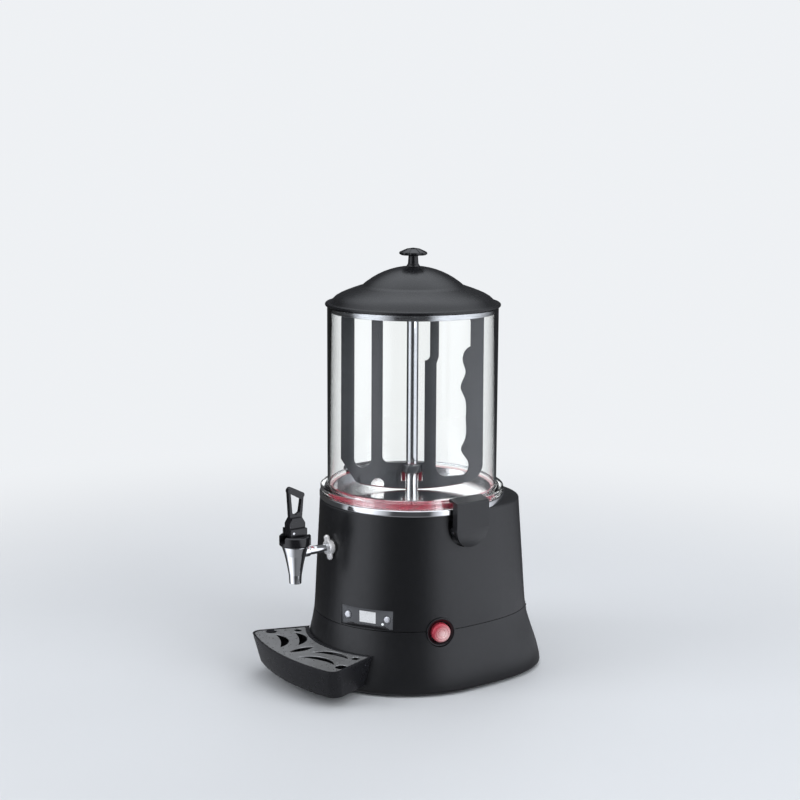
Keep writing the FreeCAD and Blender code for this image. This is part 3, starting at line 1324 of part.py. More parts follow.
def wavy_slot():
    """Slot whose right-hand edge waves in and out."""
    top, left, foot = PADDLE_TOP - CROSSBAR, WAVY_SLOT_LEFT, WAVY_SLOT_FOOT
    start, end = V(WAVE[0][0], 0, WAVE[0][1]), V(WAVE[-1][0], 0, WAVE[-1][1])
    curve = Part.BSplineCurve()
    curve.interpolate([V(x, 0, z) for x, z in WAVE])
    step, step_z, corner, round_r = WAVY_SLOT_STEP, SECOND_SLOT_STEP_Z, WAVY_SLOT_CORNER, WAVY_SLOT_ROUND
    soft = 1 - math.sqrt(0.5)
    edges = [Part.makeLine(V(left + step, 0, top), V(start.x - corner, 0, top)),
             Part.Arc(V(start.x - corner, 0, top), V(start.x - corner * soft, 0, top - corner * soft),
                      V(start.x, 0, top - corner)).toShape(),
             Part.makeLine(V(start.x, 0, top - corner), start), curve.toShape(),
             Part.makeLine(end, V(left + round_r, 0, foot)),
             Part.Arc(V(left + round_r, 0, foot), V(left + round_r * soft, 0, foot + round_r * soft),
                      V(left, 0, foot + round_r)).toShape(),
             Part.makeLine(V(left, 0, foot + round_r), V(left, 0, step_z - step)),
             Part.makeLine(V(left, 0, step_z - step), V(left + step, 0, step_z + 2 * step)),
             Part.makeLine(V(left + step, 0, step_z + 2 * step), V(left + step, 0, top))]
    return Part.Face(Part.Wire(edges)).extrude(V(0, 1, 0) * PADDLE_PLATE * 3)


def paddle():
    half = PADDLE_PLATE / 2
    across = V(0, 1, 0)
    plate = extruded(paddle_outline(), at_side, -half, PADDLE_PLATE, across)
    cuts = [extruded(slot, at_side, -half - 1, PADDLE_PLATE + 2, across)
            for slot in (first_slot(), second_slot())]
    wavy = wavy_slot()
    wavy.translate(across * -PADDLE_PLATE * 1.5)
    gap = COLUMN_R + COLUMN_SWEEP_GAP
    cuts += [wavy, rod(NOTCH_R, V(NOTCH_X, -half - 1, NOTCH_Z), V(NOTCH_X, half + 1, NOTCH_Z)),
             box((-HUB_WINDOW, HUB_WINDOW), (-half - 1, half + 1), (HUB_WINDOW_Z, HUB_RING_Z)),
             box((-gap, gap), (-half - 1, half + 1), (PADDLE_BOTTOM - 1, HUB_WINDOW_Z + 1))]
    ring = cylinder(HUB_RING_R, HUB_RING_Z, HUB_RING_Z + HUB_RING)
    hub_low = COLUMN_TOP + SEAT_GAP + HUB_GAP
    hub = cylinder(HUB_R, hub_low, PADDLE_TOP + HUB_RISE)
    shape = plate.cut(cuts).fuse([ring, hub])
    shape = shape.cut([cylinder(gap, PADDLE_BOTTOM - 1, max(WEB_TOP, HUB_RING_Z + HUB_RING) + 1),
                       cylinder(SHAFT_R, hub_low - 1, PADDLE_TOP - 1)])
    return at_paddle(shape)


def drive_shaft():
    """Shaft from the output gear up inside the column to the paddle's hub."""
    return cylinder(SHAFT_R, CASE_Z + RUN_GAP, PADDLE_TOP - 1)


def gear_points(teeth, module, backlash):
    """Points round a spur gear: flat tips and roots joined by flanks that pass the pitch circle."""
    pitch = module * teeth / 2
    tip, root = pitch + GEAR_ADDENDUM * module, pitch - GEAR_DEDENDUM * module
    quarter = math.pi / (2 * teeth) - backlash / pitch
    flare_out, taper = GEAR_ROOT_FLARE * module / pitch, GEAR_TIP_TAPER * module / pitch
    points = []
    for k in range(teeth):
        middle = 2 * math.pi * k / teeth
        for radius, half in ((root, quarter + flare_out), (pitch, quarter), (tip, quarter - taper)):
            points.append((radius, middle - half))
        for radius, half in ((tip, quarter - taper), (pitch, quarter), (root, quarter + flare_out)):
            points.append((radius, middle + half))
    return points


def gear_blank(teeth, backlash, low, high, turn):
    corners = [V(radius * math.cos(angle + turn), radius * math.sin(angle + turn), low)
               for radius, angle in gear_points(teeth, GEAR_MODULE, backlash)]
    return Part.Face(Part.makePolygon(corners + corners[:1])).extrude(V(0, 0, high - low))


def output_gear():
    """Wheel on the drive shaft, with a tooth space turned to the pinion."""
    turn = math.pi / 2 + math.pi / GEAR_TEETH
    wheel = gear_blank(GEAR_TEETH, GEAR_BACKLASH / 2, GEAR_Z, GEAR_Z + GEAR_WIDTH, turn)
    hub = cylinder(GEAR_HUB_R, GEAR_Z - GEAR_HUB_RISE, GEAR_Z + GEAR_WIDTH + GEAR_HUB_RISE)
    low, high = CASE_Z, CASE_Z + CASE_HEIGHT
    return wheel.fuse(hub).cut(cylinder(SHAFT_R, low, high))


def motor_pinion():
    """Pinion cut in one with the motor's shaft, with a tooth turned to the wheel."""
    turn = -math.pi / 2
    low, high = GEAR_Z - PINION_OVERLAP, GEAR_Z + GEAR_WIDTH + PINION_OVERLAP
    pinion = gear_blank(PINION_TEETH, GEAR_BACKLASH / 2, low, high, turn)
    pinion = pinion.fuse(cylinder(MOTOR_SHAFT_R, CASE_Z + SEAT_GAP, high + PINION_OVERLAP))
    pinion.translate(V(0, CENTRE_DISTANCE, 0))
    return pinion


def post_places():
    return [(sign * (CASE_X - POST_INSET), y) for sign in (-1, 1)
            for y in (CASE_FRONT + POST_INSET, CASE_REAR - POST_INSET)]


def gear_case():
    outer = box((-CASE_X, CASE_X), (CASE_FRONT, CASE_REAR), (CASE_Z, CASE_Z + CASE_HEIGHT))
    low, high = CASE_Z + CASE_WALL, CASE_Z + CASE_HEIGHT + 1
    wheel_room = cylinder(GEAR_MODULE * GEAR_TEETH / 2 + GEAR_ROOM, low, high)
    pinion_room = cylinder(GEAR_MODULE * PINION_TEETH / 2 + GEAR_ROOM + PINION_OVERLAP, low, high,
                           0, CENTRE_DISTANCE)
    bores = [cylinder(SHAFT_R + RUN_GAP, CASE_Z, low + 1),
             cylinder(MOTOR_SHAFT_R + RUN_GAP, CASE_Z - 1, low + 1, 0, CENTRE_DISTANCE)]
    return outer.cut([wheel_room, pinion_room] + bores)


def gear_case_lid():
    low = CASE_Z + CASE_HEIGHT
    plate = box((-CASE_X, CASE_X), (CASE_FRONT, CASE_REAR), (low, low + CASE_LID))
    return plate.cut(cylinder(SHAFT_R + RUN_GAP, low - 1, low + CASE_LID + 1))


def motor():
    low = CASE_Z - MOTOR_HEIGHT
    can = cylinder(MOTOR_R, low + MOTOR_CAP, CASE_Z, 0, CENTRE_DISTANCE)
    cap = cylinder(MOTOR_R - MOTOR_CAP_INSET, low, low + MOTOR_CAP, 0, CENTRE_DISTANCE)
    return can.fuse(cap)


def motor_posts():
    return group([cylinder(POST_R, PLATE_Z, CASE_Z, x, y) for x, y in post_places()])


# Electrics

def panel_fascia():
    plate = panel_block(PANEL_WIDTH - 2 * FIT_GAP, PANEL_HEIGHT - 2 * FIT_GAP,
                        PANEL_FACE - PANEL_PLATE, PANEL_FACE)
    back = PANEL_FACE - 2 * PANEL_PLATE
    holes = [panel_rod(BUTTON_R + BUTTON_GAP, back, PANEL_FACE + 1, side * BUTTON_X, PANEL_Z)
             for side in (-1, 1)]
    holes.append(panel_block(LCD_WIDTH, LCD_HEIGHT, PANEL_FACE - LCD_SHEET - LCD_RECESS, PANEL_FACE + 1))
    holes.append(panel_rod(LAMP_R, back, PANEL_FACE + 1, LAMP_X, PANEL_Z - LAMP_DROP))
    return plate.cut(holes)


def panel_display():
    face = PANEL_FACE - LCD_RECESS
    return panel_block(LCD_WIDTH, LCD_HEIGHT, face - LCD_SHEET, face)


def panel_lamp():
    return panel_rod(LAMP_R, PANEL_FACE - PANEL_PLATE, PANEL_FACE + LAMP_PROUD,
                     LAMP_X, PANEL_Z - LAMP_DROP)


def panel_button(side):
    low = PANEL_FACE - PANEL_PLATE + BUTTON_LIFT
    return panel_rod(BUTTON_R, low, PANEL_FACE + BUTTON_PROUD, side * BUTTON_X, PANEL_Z)


def thermostat_box():
    """Controller behind the fascia, with a blind well behind each button."""
    back = PANEL_FACE - PANEL_PLATE - PANEL_BODY_DEPTH
    body = panel_block(PANEL_WIDTH - 2 * THERMOSTAT_INSET, PANEL_HEIGHT - THERMOSTAT_INSET, back,
                       PANEL_FACE - PANEL_PLATE)
    wells = [panel_rod(BUTTON_R + BUTTON_GAP, PANEL_FACE - PANEL_PLATE - BUTTON_TRAVEL_ROOM, PANEL_FACE,
                       side * BUTTON_X, PANEL_Z) for side in (-1, 1)]
    return body.cut(wells)


def switch_bezel():
    face = SWITCH_FACE
    low = face - BEZEL_DEPTH
    ring = switch_rod(BEZEL_R, low, face).cut(switch_rod(BEZEL_BORE, low, face + 1))
    cone = Part.makeCone(BEZEL_BORE, BEZEL_R - BEZEL_LAND, BEZEL_CHAMFER, V(0, 0, 0), V(0, -1, 0))
    cone.translate(V(0, -face + BEZEL_CHAMFER, SWITCH_Z))
    return ring.cut(turned(cone, SWITCH_AZIMUTH))


def power_button():
    """Round push button with a crowned, stepped face."""
    base, crown = SWITCH_FACE + CAP_PROUD - CAP_CROWN, CAP_CROWN
    top, outer, slope = CAP_DEPTH + crown, CAP_GROOVE_R, CAP_GROOVE_SLOPE
    floor, inner = top - CAP_GROOVE_DEPTH, CAP_GROOVE_R - CAP_GROOVE
    body = Part.Face(wire([(0, 0), (CAP_R, 0), (CAP_R, CAP_DEPTH), (CAP_R - crown, top), (outer, top),
                           (outer - slope, floor), (inner + slope, floor), (inner, top), (0, top)], at_side))
    body = body.revolve(V(0, 0, 0), V(0, 0, 1), 360)
    body.rotate(V(0, 0, 0), V(1, 0, 0), 90)
    body.translate(V(0, -base + CAP_DEPTH, SWITCH_Z))
    return turned(body, SWITCH_AZIMUTH)


def switch_body():
    """Switch behind the bezel, hollow in front so that the cap can travel."""
    front = SWITCH_FACE - BEZEL_DEPTH
    half = SWITCH_BODY / 2
    body = box((-half, half), (-front, -front + SWITCH_BODY_DEPTH), (SWITCH_Z - half, SWITCH_Z + half))
    flange = rod(BEZEL_R, V(0, -front + SWITCH_FLANGE, SWITCH_Z), V(0, -front, SWITCH_Z))
    return turned(body.fuse(flange), SWITCH_AZIMUTH)


def power_inlet():
    """Socket for the mains lead in the rear wall, with its three blades."""
    face = inlet_face()
    half, rise = INLET_WIDTH / 2, INLET_HEIGHT / 2
    edge, thin = INLET_FLANGE, INLET_WALL
    body = box((INLET_X - half, INLET_X + half), (face - INLET_DEPTH, face),
               (INLET_Z - rise, INLET_Z + rise))
    flange = box((INLET_X - half - edge, INLET_X + half + edge), (face, face + INLET_FLANGE_SHEET),
                 (INLET_Z - rise - edge, INLET_Z + rise + edge))
    well = box((INLET_X - half + thin, INLET_X + half - thin), (face - INLET_WELL, face + edge),
               (INLET_Z - rise + thin, INLET_Z + rise - thin))
    root, thick, tall = face - INLET_WELL - 1, BLADE_WIDTH / 2, BLADE_HEIGHT / 2
    blades = [box((x - thick, x + thick), (root, root + BLADE_LENGTH), (z - tall, z + tall))
              for x, z in ((INLET_X + dx, INLET_Z + dz) for dx, dz in INLET_BLADES)]
    return body.fuse(flange).cut(well).fuse(blades)


def control_board():
    """Board with a transformer, relays and capacitors, on its posts."""
    low = PLATE_Z + BOARD_RISE
    top = low + BOARD_SHEET
    half_x, half_y = BOARD_LENGTH / 2, BOARD_WIDTH / 2
    board = box((BOARD_X - half_x, BOARD_X + half_x), (BOARD_Y - half_y, BOARD_Y + half_y), (low, top))
    blocks = [box((BOARD_X + x - length / 2, BOARD_X + x + length / 2),
                  (BOARD_Y + y - width / 2, BOARD_Y + y + width / 2), (top, top + height))
              for x, y, length, width, height in BOARD_BLOCKS]
    cans = [cylinder(radius, top, top + height, BOARD_X + x, BOARD_Y + y)
            for x, y, radius, height in BOARD_CANS]
    return board.fuse(blocks + cans)


def board_posts():
    half_x, half_y = BOARD_LENGTH / 2 - BOARD_POST_INSET, BOARD_WIDTH / 2 - BOARD_POST_INSET
    return group([cylinder(BOARD_POST_R, PLATE_Z, PLATE_Z + BOARD_RISE, x, y)
                  for x in (BOARD_X - half_x, BOARD_X + half_x)
                  for y in (BOARD_Y - half_y, BOARD_Y + half_y)])


def main():
    export("lower_housing", lower_housing().cut(drain_hole()))
    export("upper_housing", upper_housing())
    export("base_plate", base_plate())
    export("rubber_feet", rubber_feet())
    export("housing_screws", housing_screws())
    export("seat_ring", seat_ring())
    export("bowl", bowl())
    export("bowl_gasket", bowl_gasket())
    export("bowl_pan", pan())
    export("centre_column", column())
    export("column_bushes", column_bushes())
    export("water_tank", water_tank())
    export("tank_seal", tank_seal())
    export("heating_element", heating_element())
    export("tank_nuts", tank_nuts())
    export("thermal_cutout", thermal_cutout())
    export("drain_pipe", drain_pipe())
    export("drain_cap", drain_cap())
    export("outlet_pipe", outlet_pipe())
    export("outlet_union", outlet_union())
    export("tap_shank", tap_shank())
    export("tap_washers", tap_washers())
    export("wing_nut", wing_nut())
    export("tap_body", tap_body())
    export("tap_bonnet", tap_bonnet())
    export("lever_pin", lever_pin())
    export("tap_lever", tap_lever())
    export("valve_stem", valve_stem())
    export("stem_pin", stem_pin())
    export("valve_seal", valve_seal())
    export("valve_spring", valve_spring())
    export("latch_right", latch())
    export("latch_left", mirrored(latch()))
    export("latch_pins", group([latch_pin(), mirrored(latch_pin())]))
    export("latch_springs", group([latch_spring(), mirrored(latch_spring())]))
    export("drip_tray", drip_tray())
    export("drip_grille", drip_grille())
    export("lid", lid_with_hole())
    export("lid_skirt", lid_skirt())
    export("lid_knob", lid_knob())
    export("knob_screw", knob_screw())
    export("paddle", paddle())
    export("drive_shaft", drive_shaft())
    export("output_gear", output_gear())
    export("motor_pinion", motor_pinion())
    export("gear_case", gear_case())
    export("gear_case_lid", gear_case_lid())
    export("gear_motor", motor())
    export("motor_posts", motor_posts())
    export("panel_fascia", panel_fascia())
    export("panel_display", panel_display())
    export("panel_lamp", panel_lamp())
    export("button_left", panel_button(-1))
    export("button_right", panel_button(1))
    export("thermostat_box", thermostat_box())
    export("switch_bezel", switch_bezel())
    export("power_button", power_button())
    export("switch_body", switch_body())
    export("power_inlet", power_inlet())
    export("control_board", group([control_board(), board_posts()]))


main()
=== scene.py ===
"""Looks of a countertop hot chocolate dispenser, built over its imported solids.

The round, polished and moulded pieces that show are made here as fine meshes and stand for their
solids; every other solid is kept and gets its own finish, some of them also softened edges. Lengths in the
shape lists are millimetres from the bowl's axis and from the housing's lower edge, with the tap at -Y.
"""
import math

import bmesh
import bpy
from mathutils import Matrix, Vector


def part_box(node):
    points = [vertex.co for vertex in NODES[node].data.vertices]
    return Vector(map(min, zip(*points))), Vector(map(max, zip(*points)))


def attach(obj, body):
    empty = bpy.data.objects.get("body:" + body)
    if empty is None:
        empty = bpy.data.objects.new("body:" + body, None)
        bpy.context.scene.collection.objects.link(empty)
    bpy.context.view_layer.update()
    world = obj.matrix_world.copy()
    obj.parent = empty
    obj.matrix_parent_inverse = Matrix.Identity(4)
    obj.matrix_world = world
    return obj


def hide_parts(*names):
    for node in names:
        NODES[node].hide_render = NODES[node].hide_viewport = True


bl_info = {
    "name": "Hot Chocolate Dispenser",
    "version": (1, 0, 0),
    "blender": (4, 5, 0),
    "location": "3D View > Sidebar > Dispenser",
    "description": "Finishes and fine pieces of a drink dispenser with a clear bowl",
    "category": "Object",
}

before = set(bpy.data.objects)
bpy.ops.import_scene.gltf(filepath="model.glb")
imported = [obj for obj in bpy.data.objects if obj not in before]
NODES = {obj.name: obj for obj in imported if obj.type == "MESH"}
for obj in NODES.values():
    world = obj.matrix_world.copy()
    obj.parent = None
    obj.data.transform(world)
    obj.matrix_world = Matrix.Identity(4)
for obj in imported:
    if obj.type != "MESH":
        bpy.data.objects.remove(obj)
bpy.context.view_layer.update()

MM = 0.001
BOWL_LOW, BOWL_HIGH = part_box("bowl")
HOUSING_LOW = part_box("lower_housing")[0]
AXIS_Y = (BOWL_LOW.y + BOWL_HIGH.y) / 2
EDGE_Z = HOUSING_LOW.z
BOWL_INSIDE, BOWL_OUTSIDE = 113.5, 116.5
BOWL_TOP = 501.0
PAN_RADIUS = 110.0
RING_TOP = 246.0
TAP_Y = -190.0
NECK_OUT, NECK_UP = 169.0, 184.0
PADDLE_TURN = math.radians(57.0)
PADDLE_HALF_WIDTH = 72.0
HUB_PAD_ACROSS = 11.4
PANEL_TURN = math.radians(29.2)
PANEL_OUT, PANEL_ALONG, PANEL_UP = 128.0, -4.6, 97.7
BUTTON_ALONG = 29.0
SWITCH_TURN = math.radians(71.4)
SWITCH_OUT, SWITCH_UP = 133.2, 81.2

# Brightness of the room in each direction, in degrees from +X towards +Y
ROOM_LEVELS = ((-180, 0.04), (-128, 0.04), (-110, 1.0), (-84, 1.0), (-58, 0.05), (-14, 0.05), (4, 1.0),
               (50, 0.95), (76, 0.48), (100, 0.10), (125, 0.04), (165, 0.04), (180, 0.04))
BAND_STRENGTH, CEILING_STRENGTH = 1.35, 1.6
# Height of a direction over which the bands give way to the bright ceiling
CEILING_RISE = (0.46, 0.86)
# Distances from the middle, in metres, over which the floor turns into the backdrop, and
# over which its painted shade next to the housing, seen in gloss alone, gives way to the bands
FLOOR_FADE = (0.40, 1.5)
PAINTED_FLOOR_SHADE = (0.26, 0.42)


def spot(x, y, z):
    """Point given in millimetres about the bowl's axis, in the frame's metres."""
    return Vector((x * MM, y * MM + AXIS_Y, z * MM + EDGE_Z))


# Shapes

def new_piece(name, points, faces, body, finish, smooth_angle=35.0):
    """Mesh piece that rides on a body; faces meet smoothly below the angle."""
    mesh = bpy.data.meshes.new(name)
    mesh.from_pydata([tuple(point) for point in points], [], faces)
    tidy = bmesh.new()
    tidy.from_mesh(mesh)
    bmesh.ops.remove_doubles(tidy, verts=tidy.verts, dist=1e-6)
    bmesh.ops.recalc_face_normals(tidy, faces=tidy.faces)
    tidy.to_mesh(mesh)
    tidy.free()
    mesh.shade_smooth()
    mesh.set_sharp_from_angle(angle=math.radians(smooth_angle))
    mesh.materials.append(finish)
    piece = bpy.data.objects.new(name, mesh)
    bpy.context.scene.collection.objects.link(piece)
    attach(piece, body)
    return piece


def rounded(corners, steps=5):
    """Outline whose corners, each (across, up, radius), are turned into arcs."""
    outline = []
    count = len(corners)
    for k, (a, b, radius) in enumerate(corners):
        here = Vector((a, b))
        if radius <= 0:
            outline.append(here)
            continue
        before = (Vector(corners[k - 1][:2]) - here).normalized()
        after = (Vector(corners[(k + 1) % count][:2]) - here).normalized()
        half = before.angle(after) / 2
        if half > math.radians(88):
            outline.append(here)
            continue
        reach = radius / math.tan(half)
        hub = here + (before + after).normalized() * (radius / math.sin(half))
        first, last = here + before * reach - hub, here + after * reach - hub
        sweep = first.angle_signed(last)
        for step in range(steps + 1):
            turn = -sweep * step / steps
            outline.append(hub + Vector((first.x * math.cos(turn) - first.y * math.sin(turn),
                                         first.x * math.sin(turn) + first.y * math.cos(turn))))
    return [(point.x, point.y) for point in outline]


def turned_mesh(profile, segments, closed=True, swell=None):
    """Points and faces of a profile of (radius, height) turned about the upright axis."""
    points, faces = [], []
    for k in range(segments):
        angle = 2 * math.pi * k / segments
        for radius, height in profile:
            grown = radius * (swell(angle, height) if swell else 1.0)
            points.append((grown * math.cos(angle), grown * math.sin(angle), height))
    count = len(profile)
    for k in range(segments):
        other = (k + 1) % segments
        for j in range(count if closed else count - 1):
            low, high = j, (j + 1) % count
            faces.append((k * count + low, other * count + low, other * count + high, k * count + high))
    return points, faces


def turned_piece(name, profile, body, finish, segments=128, place=None, closed=True, swell=None,
                 smooth_angle=35.0):
    """Turned piece; place maps its own millimetres to the frame, or is left out on the bowl's axis."""
    points, faces = turned_mesh(profile, segments, closed, swell)
    place = place or (lambda x, y, z: spot(x, y, z))
    faces = [tuple(dict.fromkeys(face)) for face in faces]
    return new_piece(name, [place(*point) for point in points], faces, body, finish, smooth_angle)


def facing(turn, out, along=0.0, up=0.0):
    """Place on a face turned away from the front: own z points outwards, own y up."""
    def place(x, y, z):
        across, depth = along + x, out + z
        return spot(depth * math.sin(turn) + across * math.cos(turn),
                    -depth * math.cos(turn) + across * math.sin(turn), up + y)
    return place


def slab_mesh(outline, low, high, place):
    """Points and faces of a flat outline given thickness along the place's own z."""
    count = len(outline)
    points = [place(a, b, low) for a, b in outline] + [place(a, b, high) for a, b in outline]
    faces = [tuple(range(count - 1, -1, -1)), tuple(range(count, 2 * count))]
    faces += [(k, (k + 1) % count, count + (k + 1) % count, count + k) for k in range(count)]
    return points, faces


def soften(piece, width, segments=2):
    """Rounds a piece's sharp edges a little, so that they catch the light."""
    weld = piece.modifiers.new("joined", "WELD")
    weld.merge_threshold = 1e-6
    bevel = piece.modifiers.new("soft edge", "BEVEL")
    bevel.width = width * MM
    bevel.segments = segments
    bevel.limit_method = "ANGLE"
    bevel.angle_limit = math.radians(30.0)
    bevel.harden_normals = True
    bevel.use_clamp_overlap = True


# Finishes

def started(name):
    """New material with its shader, an Object coordinate and short makers for nodes and links."""
    finish = bpy.data.materials.new(name)
    finish.use_nodes = True
    tree = finish.node_tree
    shader = tree.nodes["Principled BSDF"]
    where = tree.nodes.new("ShaderNodeTexCoord").outputs["Object"]
    return finish, tree, shader, where


def speckle(tree, where, scale, detail=3.0, stretch=(1.0, 1.0, 1.0)):
    """Noise at a scale, drawn out along the axes with a small stretch."""
    mapping = tree.nodes.new("ShaderNodeMapping")
    mapping.inputs["Scale"].default_value = stretch
    tree.links.new(where, mapping.inputs["Vector"])
    noise = tree.nodes.new("ShaderNodeTexNoise")
    noise.inputs["Scale"].default_value = scale
    noise.inputs["Detail"].default_value = detail
    tree.links.new(mapping.outputs["Vector"], noise.inputs["Vector"])
    return noise.outputs["Fac"]


def between(tree, value, low, high):
    """Value from 0.3 to 0.7 mapped to a range."""
    node = tree.nodes.new("ShaderNodeMapRange")
    node.inputs["From Min"].default_value = 0.3
    node.inputs["From Max"].default_value = 0.7
    node.inputs["To Min"].default_value = low
    node.inputs["To Max"].default_value = high
    tree.links.new(value, node.inputs["Value"])
    return node.outputs["Result"]


def tinted(tree, value, dark, light, low=0.3, high=0.7):
    """Colour that runs from dark to light with a value."""
    ramp = tree.nodes.new("ShaderNodeValToRGB")
    ramp.color_ramp.elements[0].position = low
    ramp.color_ramp.elements[0].color = (*dark, 1.0)
    ramp.color_ramp.elements[1].position = high
    ramp.color_ramp.elements[1].color = (*light, 1.0)
    tree.links.new(value, ramp.inputs["Fac"])
    return ramp.outputs["Color"]


def raised(tree, shader, value, depth):
    """Bump of a depth in millimetres on the shader's normal."""
    bump = tree.nodes.new("ShaderNodeBump")
    bump.inputs["Distance"].default_value = depth * MM
    tree.links.new(value, bump.inputs["Height"])
    tree.links.new(bump.outputs["Normal"], shader.inputs["Normal"])


def shade(colour, factor):
    """Colour made darker or lighter by a factor."""
    return tuple(min(part * factor, 1.0) for part in colour[:3])


def moulded_plastic(name, colour, grain=0.02, roughness=(0.40, 0.50), vary=0.12):
    """Moulded plastic: faint cloudiness, a fine spark-eroded grain and uneven gloss."""
    finish, tree, shader, where = started(name)
    cloud = speckle(tree, where, 14.0, 4.0)
    tree.links.new(tinted(tree, cloud, shade(colour, 1 - vary), shade(colour, 1 + vary)),
                   shader.inputs["Base Color"])
    tree.links.new(between(tree, speckle(tree, where, 120.0, 5.0), *roughness), shader.inputs["Roughness"])
    raised(tree, shader, speckle(tree, where, 2200.0, 2.0), grain)
    shader.inputs["IOR"].default_value = 1.5
    return finish


def polished_metal(name, colour, roughness=(0.03, 0.07), ripple=0.004):
    """Plated or polished metal: near mirror with faint polishing haze."""
    finish, tree, shader, where = started(name)
    shader.inputs["Metallic"].default_value = 1.0
    haze = speckle(tree, where, 60.0, 6.0)
    tree.links.new(tinted(tree, haze, shade(colour, 0.94), colour), shader.inputs["Base Color"])
    tree.links.new(between(tree, speckle(tree, where, 300.0, 4.0), *roughness), shader.inputs["Roughness"])
    raised(tree, shader, speckle(tree, where, 90.0, 2.0), ripple)
    return finish


def brushed_metal(name, colour, stretch, roughness=(0.22, 0.36), groove=0.006):
    """Brushed steel: long fine grooves that run along the axis that is stretched least."""
    finish, tree, shader, where = started(name)
    shader.inputs["Metallic"].default_value = 1.0
    lines = speckle(tree, where, 60.0, 6.0, stretch)
    tree.links.new(tinted(tree, lines, shade(colour, 0.82), shade(colour, 1.06)), shader.inputs["Base Color"])
    tree.links.new(between(tree, lines, *roughness), shader.inputs["Roughness"])
    raised(tree, shader, lines, groove)
    shader.inputs["Anisotropic"].default_value = 0.4
    return finish


def cast_metal(name, colour, share):
    """Dull metal that scatters part of its light, as shot-blasted or lightly oxidised metal does."""
    finish, tree, shader, where = started(name)
    haze = speckle(tree, where, 60.0, 5.0)
    tree.links.new(tinted(tree, haze, shade(colour, 0.93), shade(colour, 1.03)), shader.inputs["Base Color"])
    tree.links.new(between(tree, speckle(tree, where, 240.0, 4.0), 0.26, 0.36), shader.inputs["Roughness"])
    raised(tree, shader, speckle(tree, where, 700.0, 3.0), 0.001)
    shader.inputs["Metallic"].default_value = share
    return finish


def clear_plastic(name, colour, roughness):
    """Clear bowl: refracts, keeps a faint cool tint and lets the light through to the floor."""
    finish, tree, shader, where = started(name)
    tree.links.new(tinted(tree, speckle(tree, where, 8.0), shade(colour, 0.985), colour),
                   shader.inputs["Base Color"])
    smear = between(tree, speckle(tree, where, 30.0, 5.0), roughness * 0.5, roughness * 1.5)
    tree.links.new(smear, shader.inputs["Roughness"])
    shader.inputs["Transmission Weight"].default_value = 1.0
    shader.inputs["IOR"].default_value = 1.32
    pass_light = tree.nodes.new("ShaderNodeBsdfTransparent")
    pass_light.inputs["Color"].default_value = (0.94, 0.95, 0.95, 1.0)
    path = tree.nodes.new("ShaderNodeLightPath")
    mix = tree.nodes.new("ShaderNodeMixShader")
    tree.links.new(path.outputs["Is Shadow Ray"], mix.inputs["Fac"])
    tree.links.new(shader.outputs["BSDF"], mix.inputs[1])
    tree.links.new(pass_light.outputs["BSDF"], mix.inputs[2])
    tree.links.new(mix.outputs["Shader"], tree.nodes["Material Output"].inputs["Surface"])
    return finish


def soft_rubber(name, colour, roughness=(0.45, 0.65), scatter=0.0):
    """Silicone or rubber: dull, with a dusty grain."""
    finish, tree, shader, where = started(name)
    dust = speckle(tree, where, 45.0, 5.0)
    tree.links.new(tinted(tree, dust, shade(colour, 0.85), shade(colour, 1.15)), shader.inputs["Base Color"])
    tree.links.new(between(tree, dust, *roughness), shader.inputs["Roughness"])
    raised(tree, shader, speckle(tree, where, 1500.0, 2.0), 0.015)
    shader.inputs["Subsurface Weight"].default_value = scatter
    shader.inputs["Subsurface Radius"].default_value = (0.004, 0.001, 0.001)
    return finish


def tinted_silicone(name, colour, solidity):
    """Clear silicone with a red tint that partly lets through what is behind it."""
    finish, tree, shader, where = started(name)
    dust = speckle(tree, where, 45.0, 5.0)
    tree.links.new(tinted(tree, dust, shade(colour, 0.85), shade(colour, 1.1)), shader.inputs["Base Color"])
    tree.links.new(between(tree, dust, 0.2, 0.35), shader.inputs["Roughness"])
    shader.inputs["Alpha"].default_value = solidity
    return finish


def lit_plastic(name, colour, strength):
    """Translucent coloured plastic that glows a little from the lamp behind it."""
    finish, tree, shader, where = started(name)
    depth = speckle(tree, where, 70.0, 3.0)
    tint = tinted(tree, depth, shade(colour, 0.85), shade(colour, 1.1))
    tree.links.new(tint, shader.inputs["Base Color"])
    tree.links.new(tint, shader.inputs["Emission Color"])
    tree.links.new(between(tree, depth, 0.12, 0.22), shader.inputs["Roughness"])
    shader.inputs["Emission Strength"].default_value = strength
    shader.inputs["Coat Weight"].default_value = 0.6
    return finish


def button_plastic(name, colour, strength, middle, painted_highlight_side):
    """Red lens with a painted highlight, paler in the middle and towards one side; the lamp behind it makes
    it glow a little.
    """
    finish, tree, shader, where = started(name)
    link = tree.links.new
    # The pale tint towards the given side is a painted highlight, not light from the lamp.
    reach = (painted_highlight_side - middle).length
    away = tree.nodes.new("ShaderNodeVectorMath")
    away.operation = "SUBTRACT"
    link(where, away.inputs[0])
    away.inputs[1].default_value = middle + (painted_highlight_side - middle) * 0.35
    far = tree.nodes.new("ShaderNodeVectorMath")
    far.operation = "LENGTH"
    link(away.outputs["Vector"], far.inputs[0])
    share = tree.nodes.new("ShaderNodeMapRange")
    share.inputs["From Max"].default_value = reach * 1.05
    link(far.outputs["Value"], share.inputs["Value"])
    tint = tinted(tree, share.outputs["Result"], (0.86, 0.62, 0.62), colour, 0.05, 0.95)
    link(tint, shader.inputs["Base Color"])
    link(tint, shader.inputs["Emission Color"])
    link(between(tree, speckle(tree, where, 160.0, 3.0), 0.22, 0.32), shader.inputs["Roughness"])
    shader.inputs["Emission Strength"].default_value = strength
    return finish


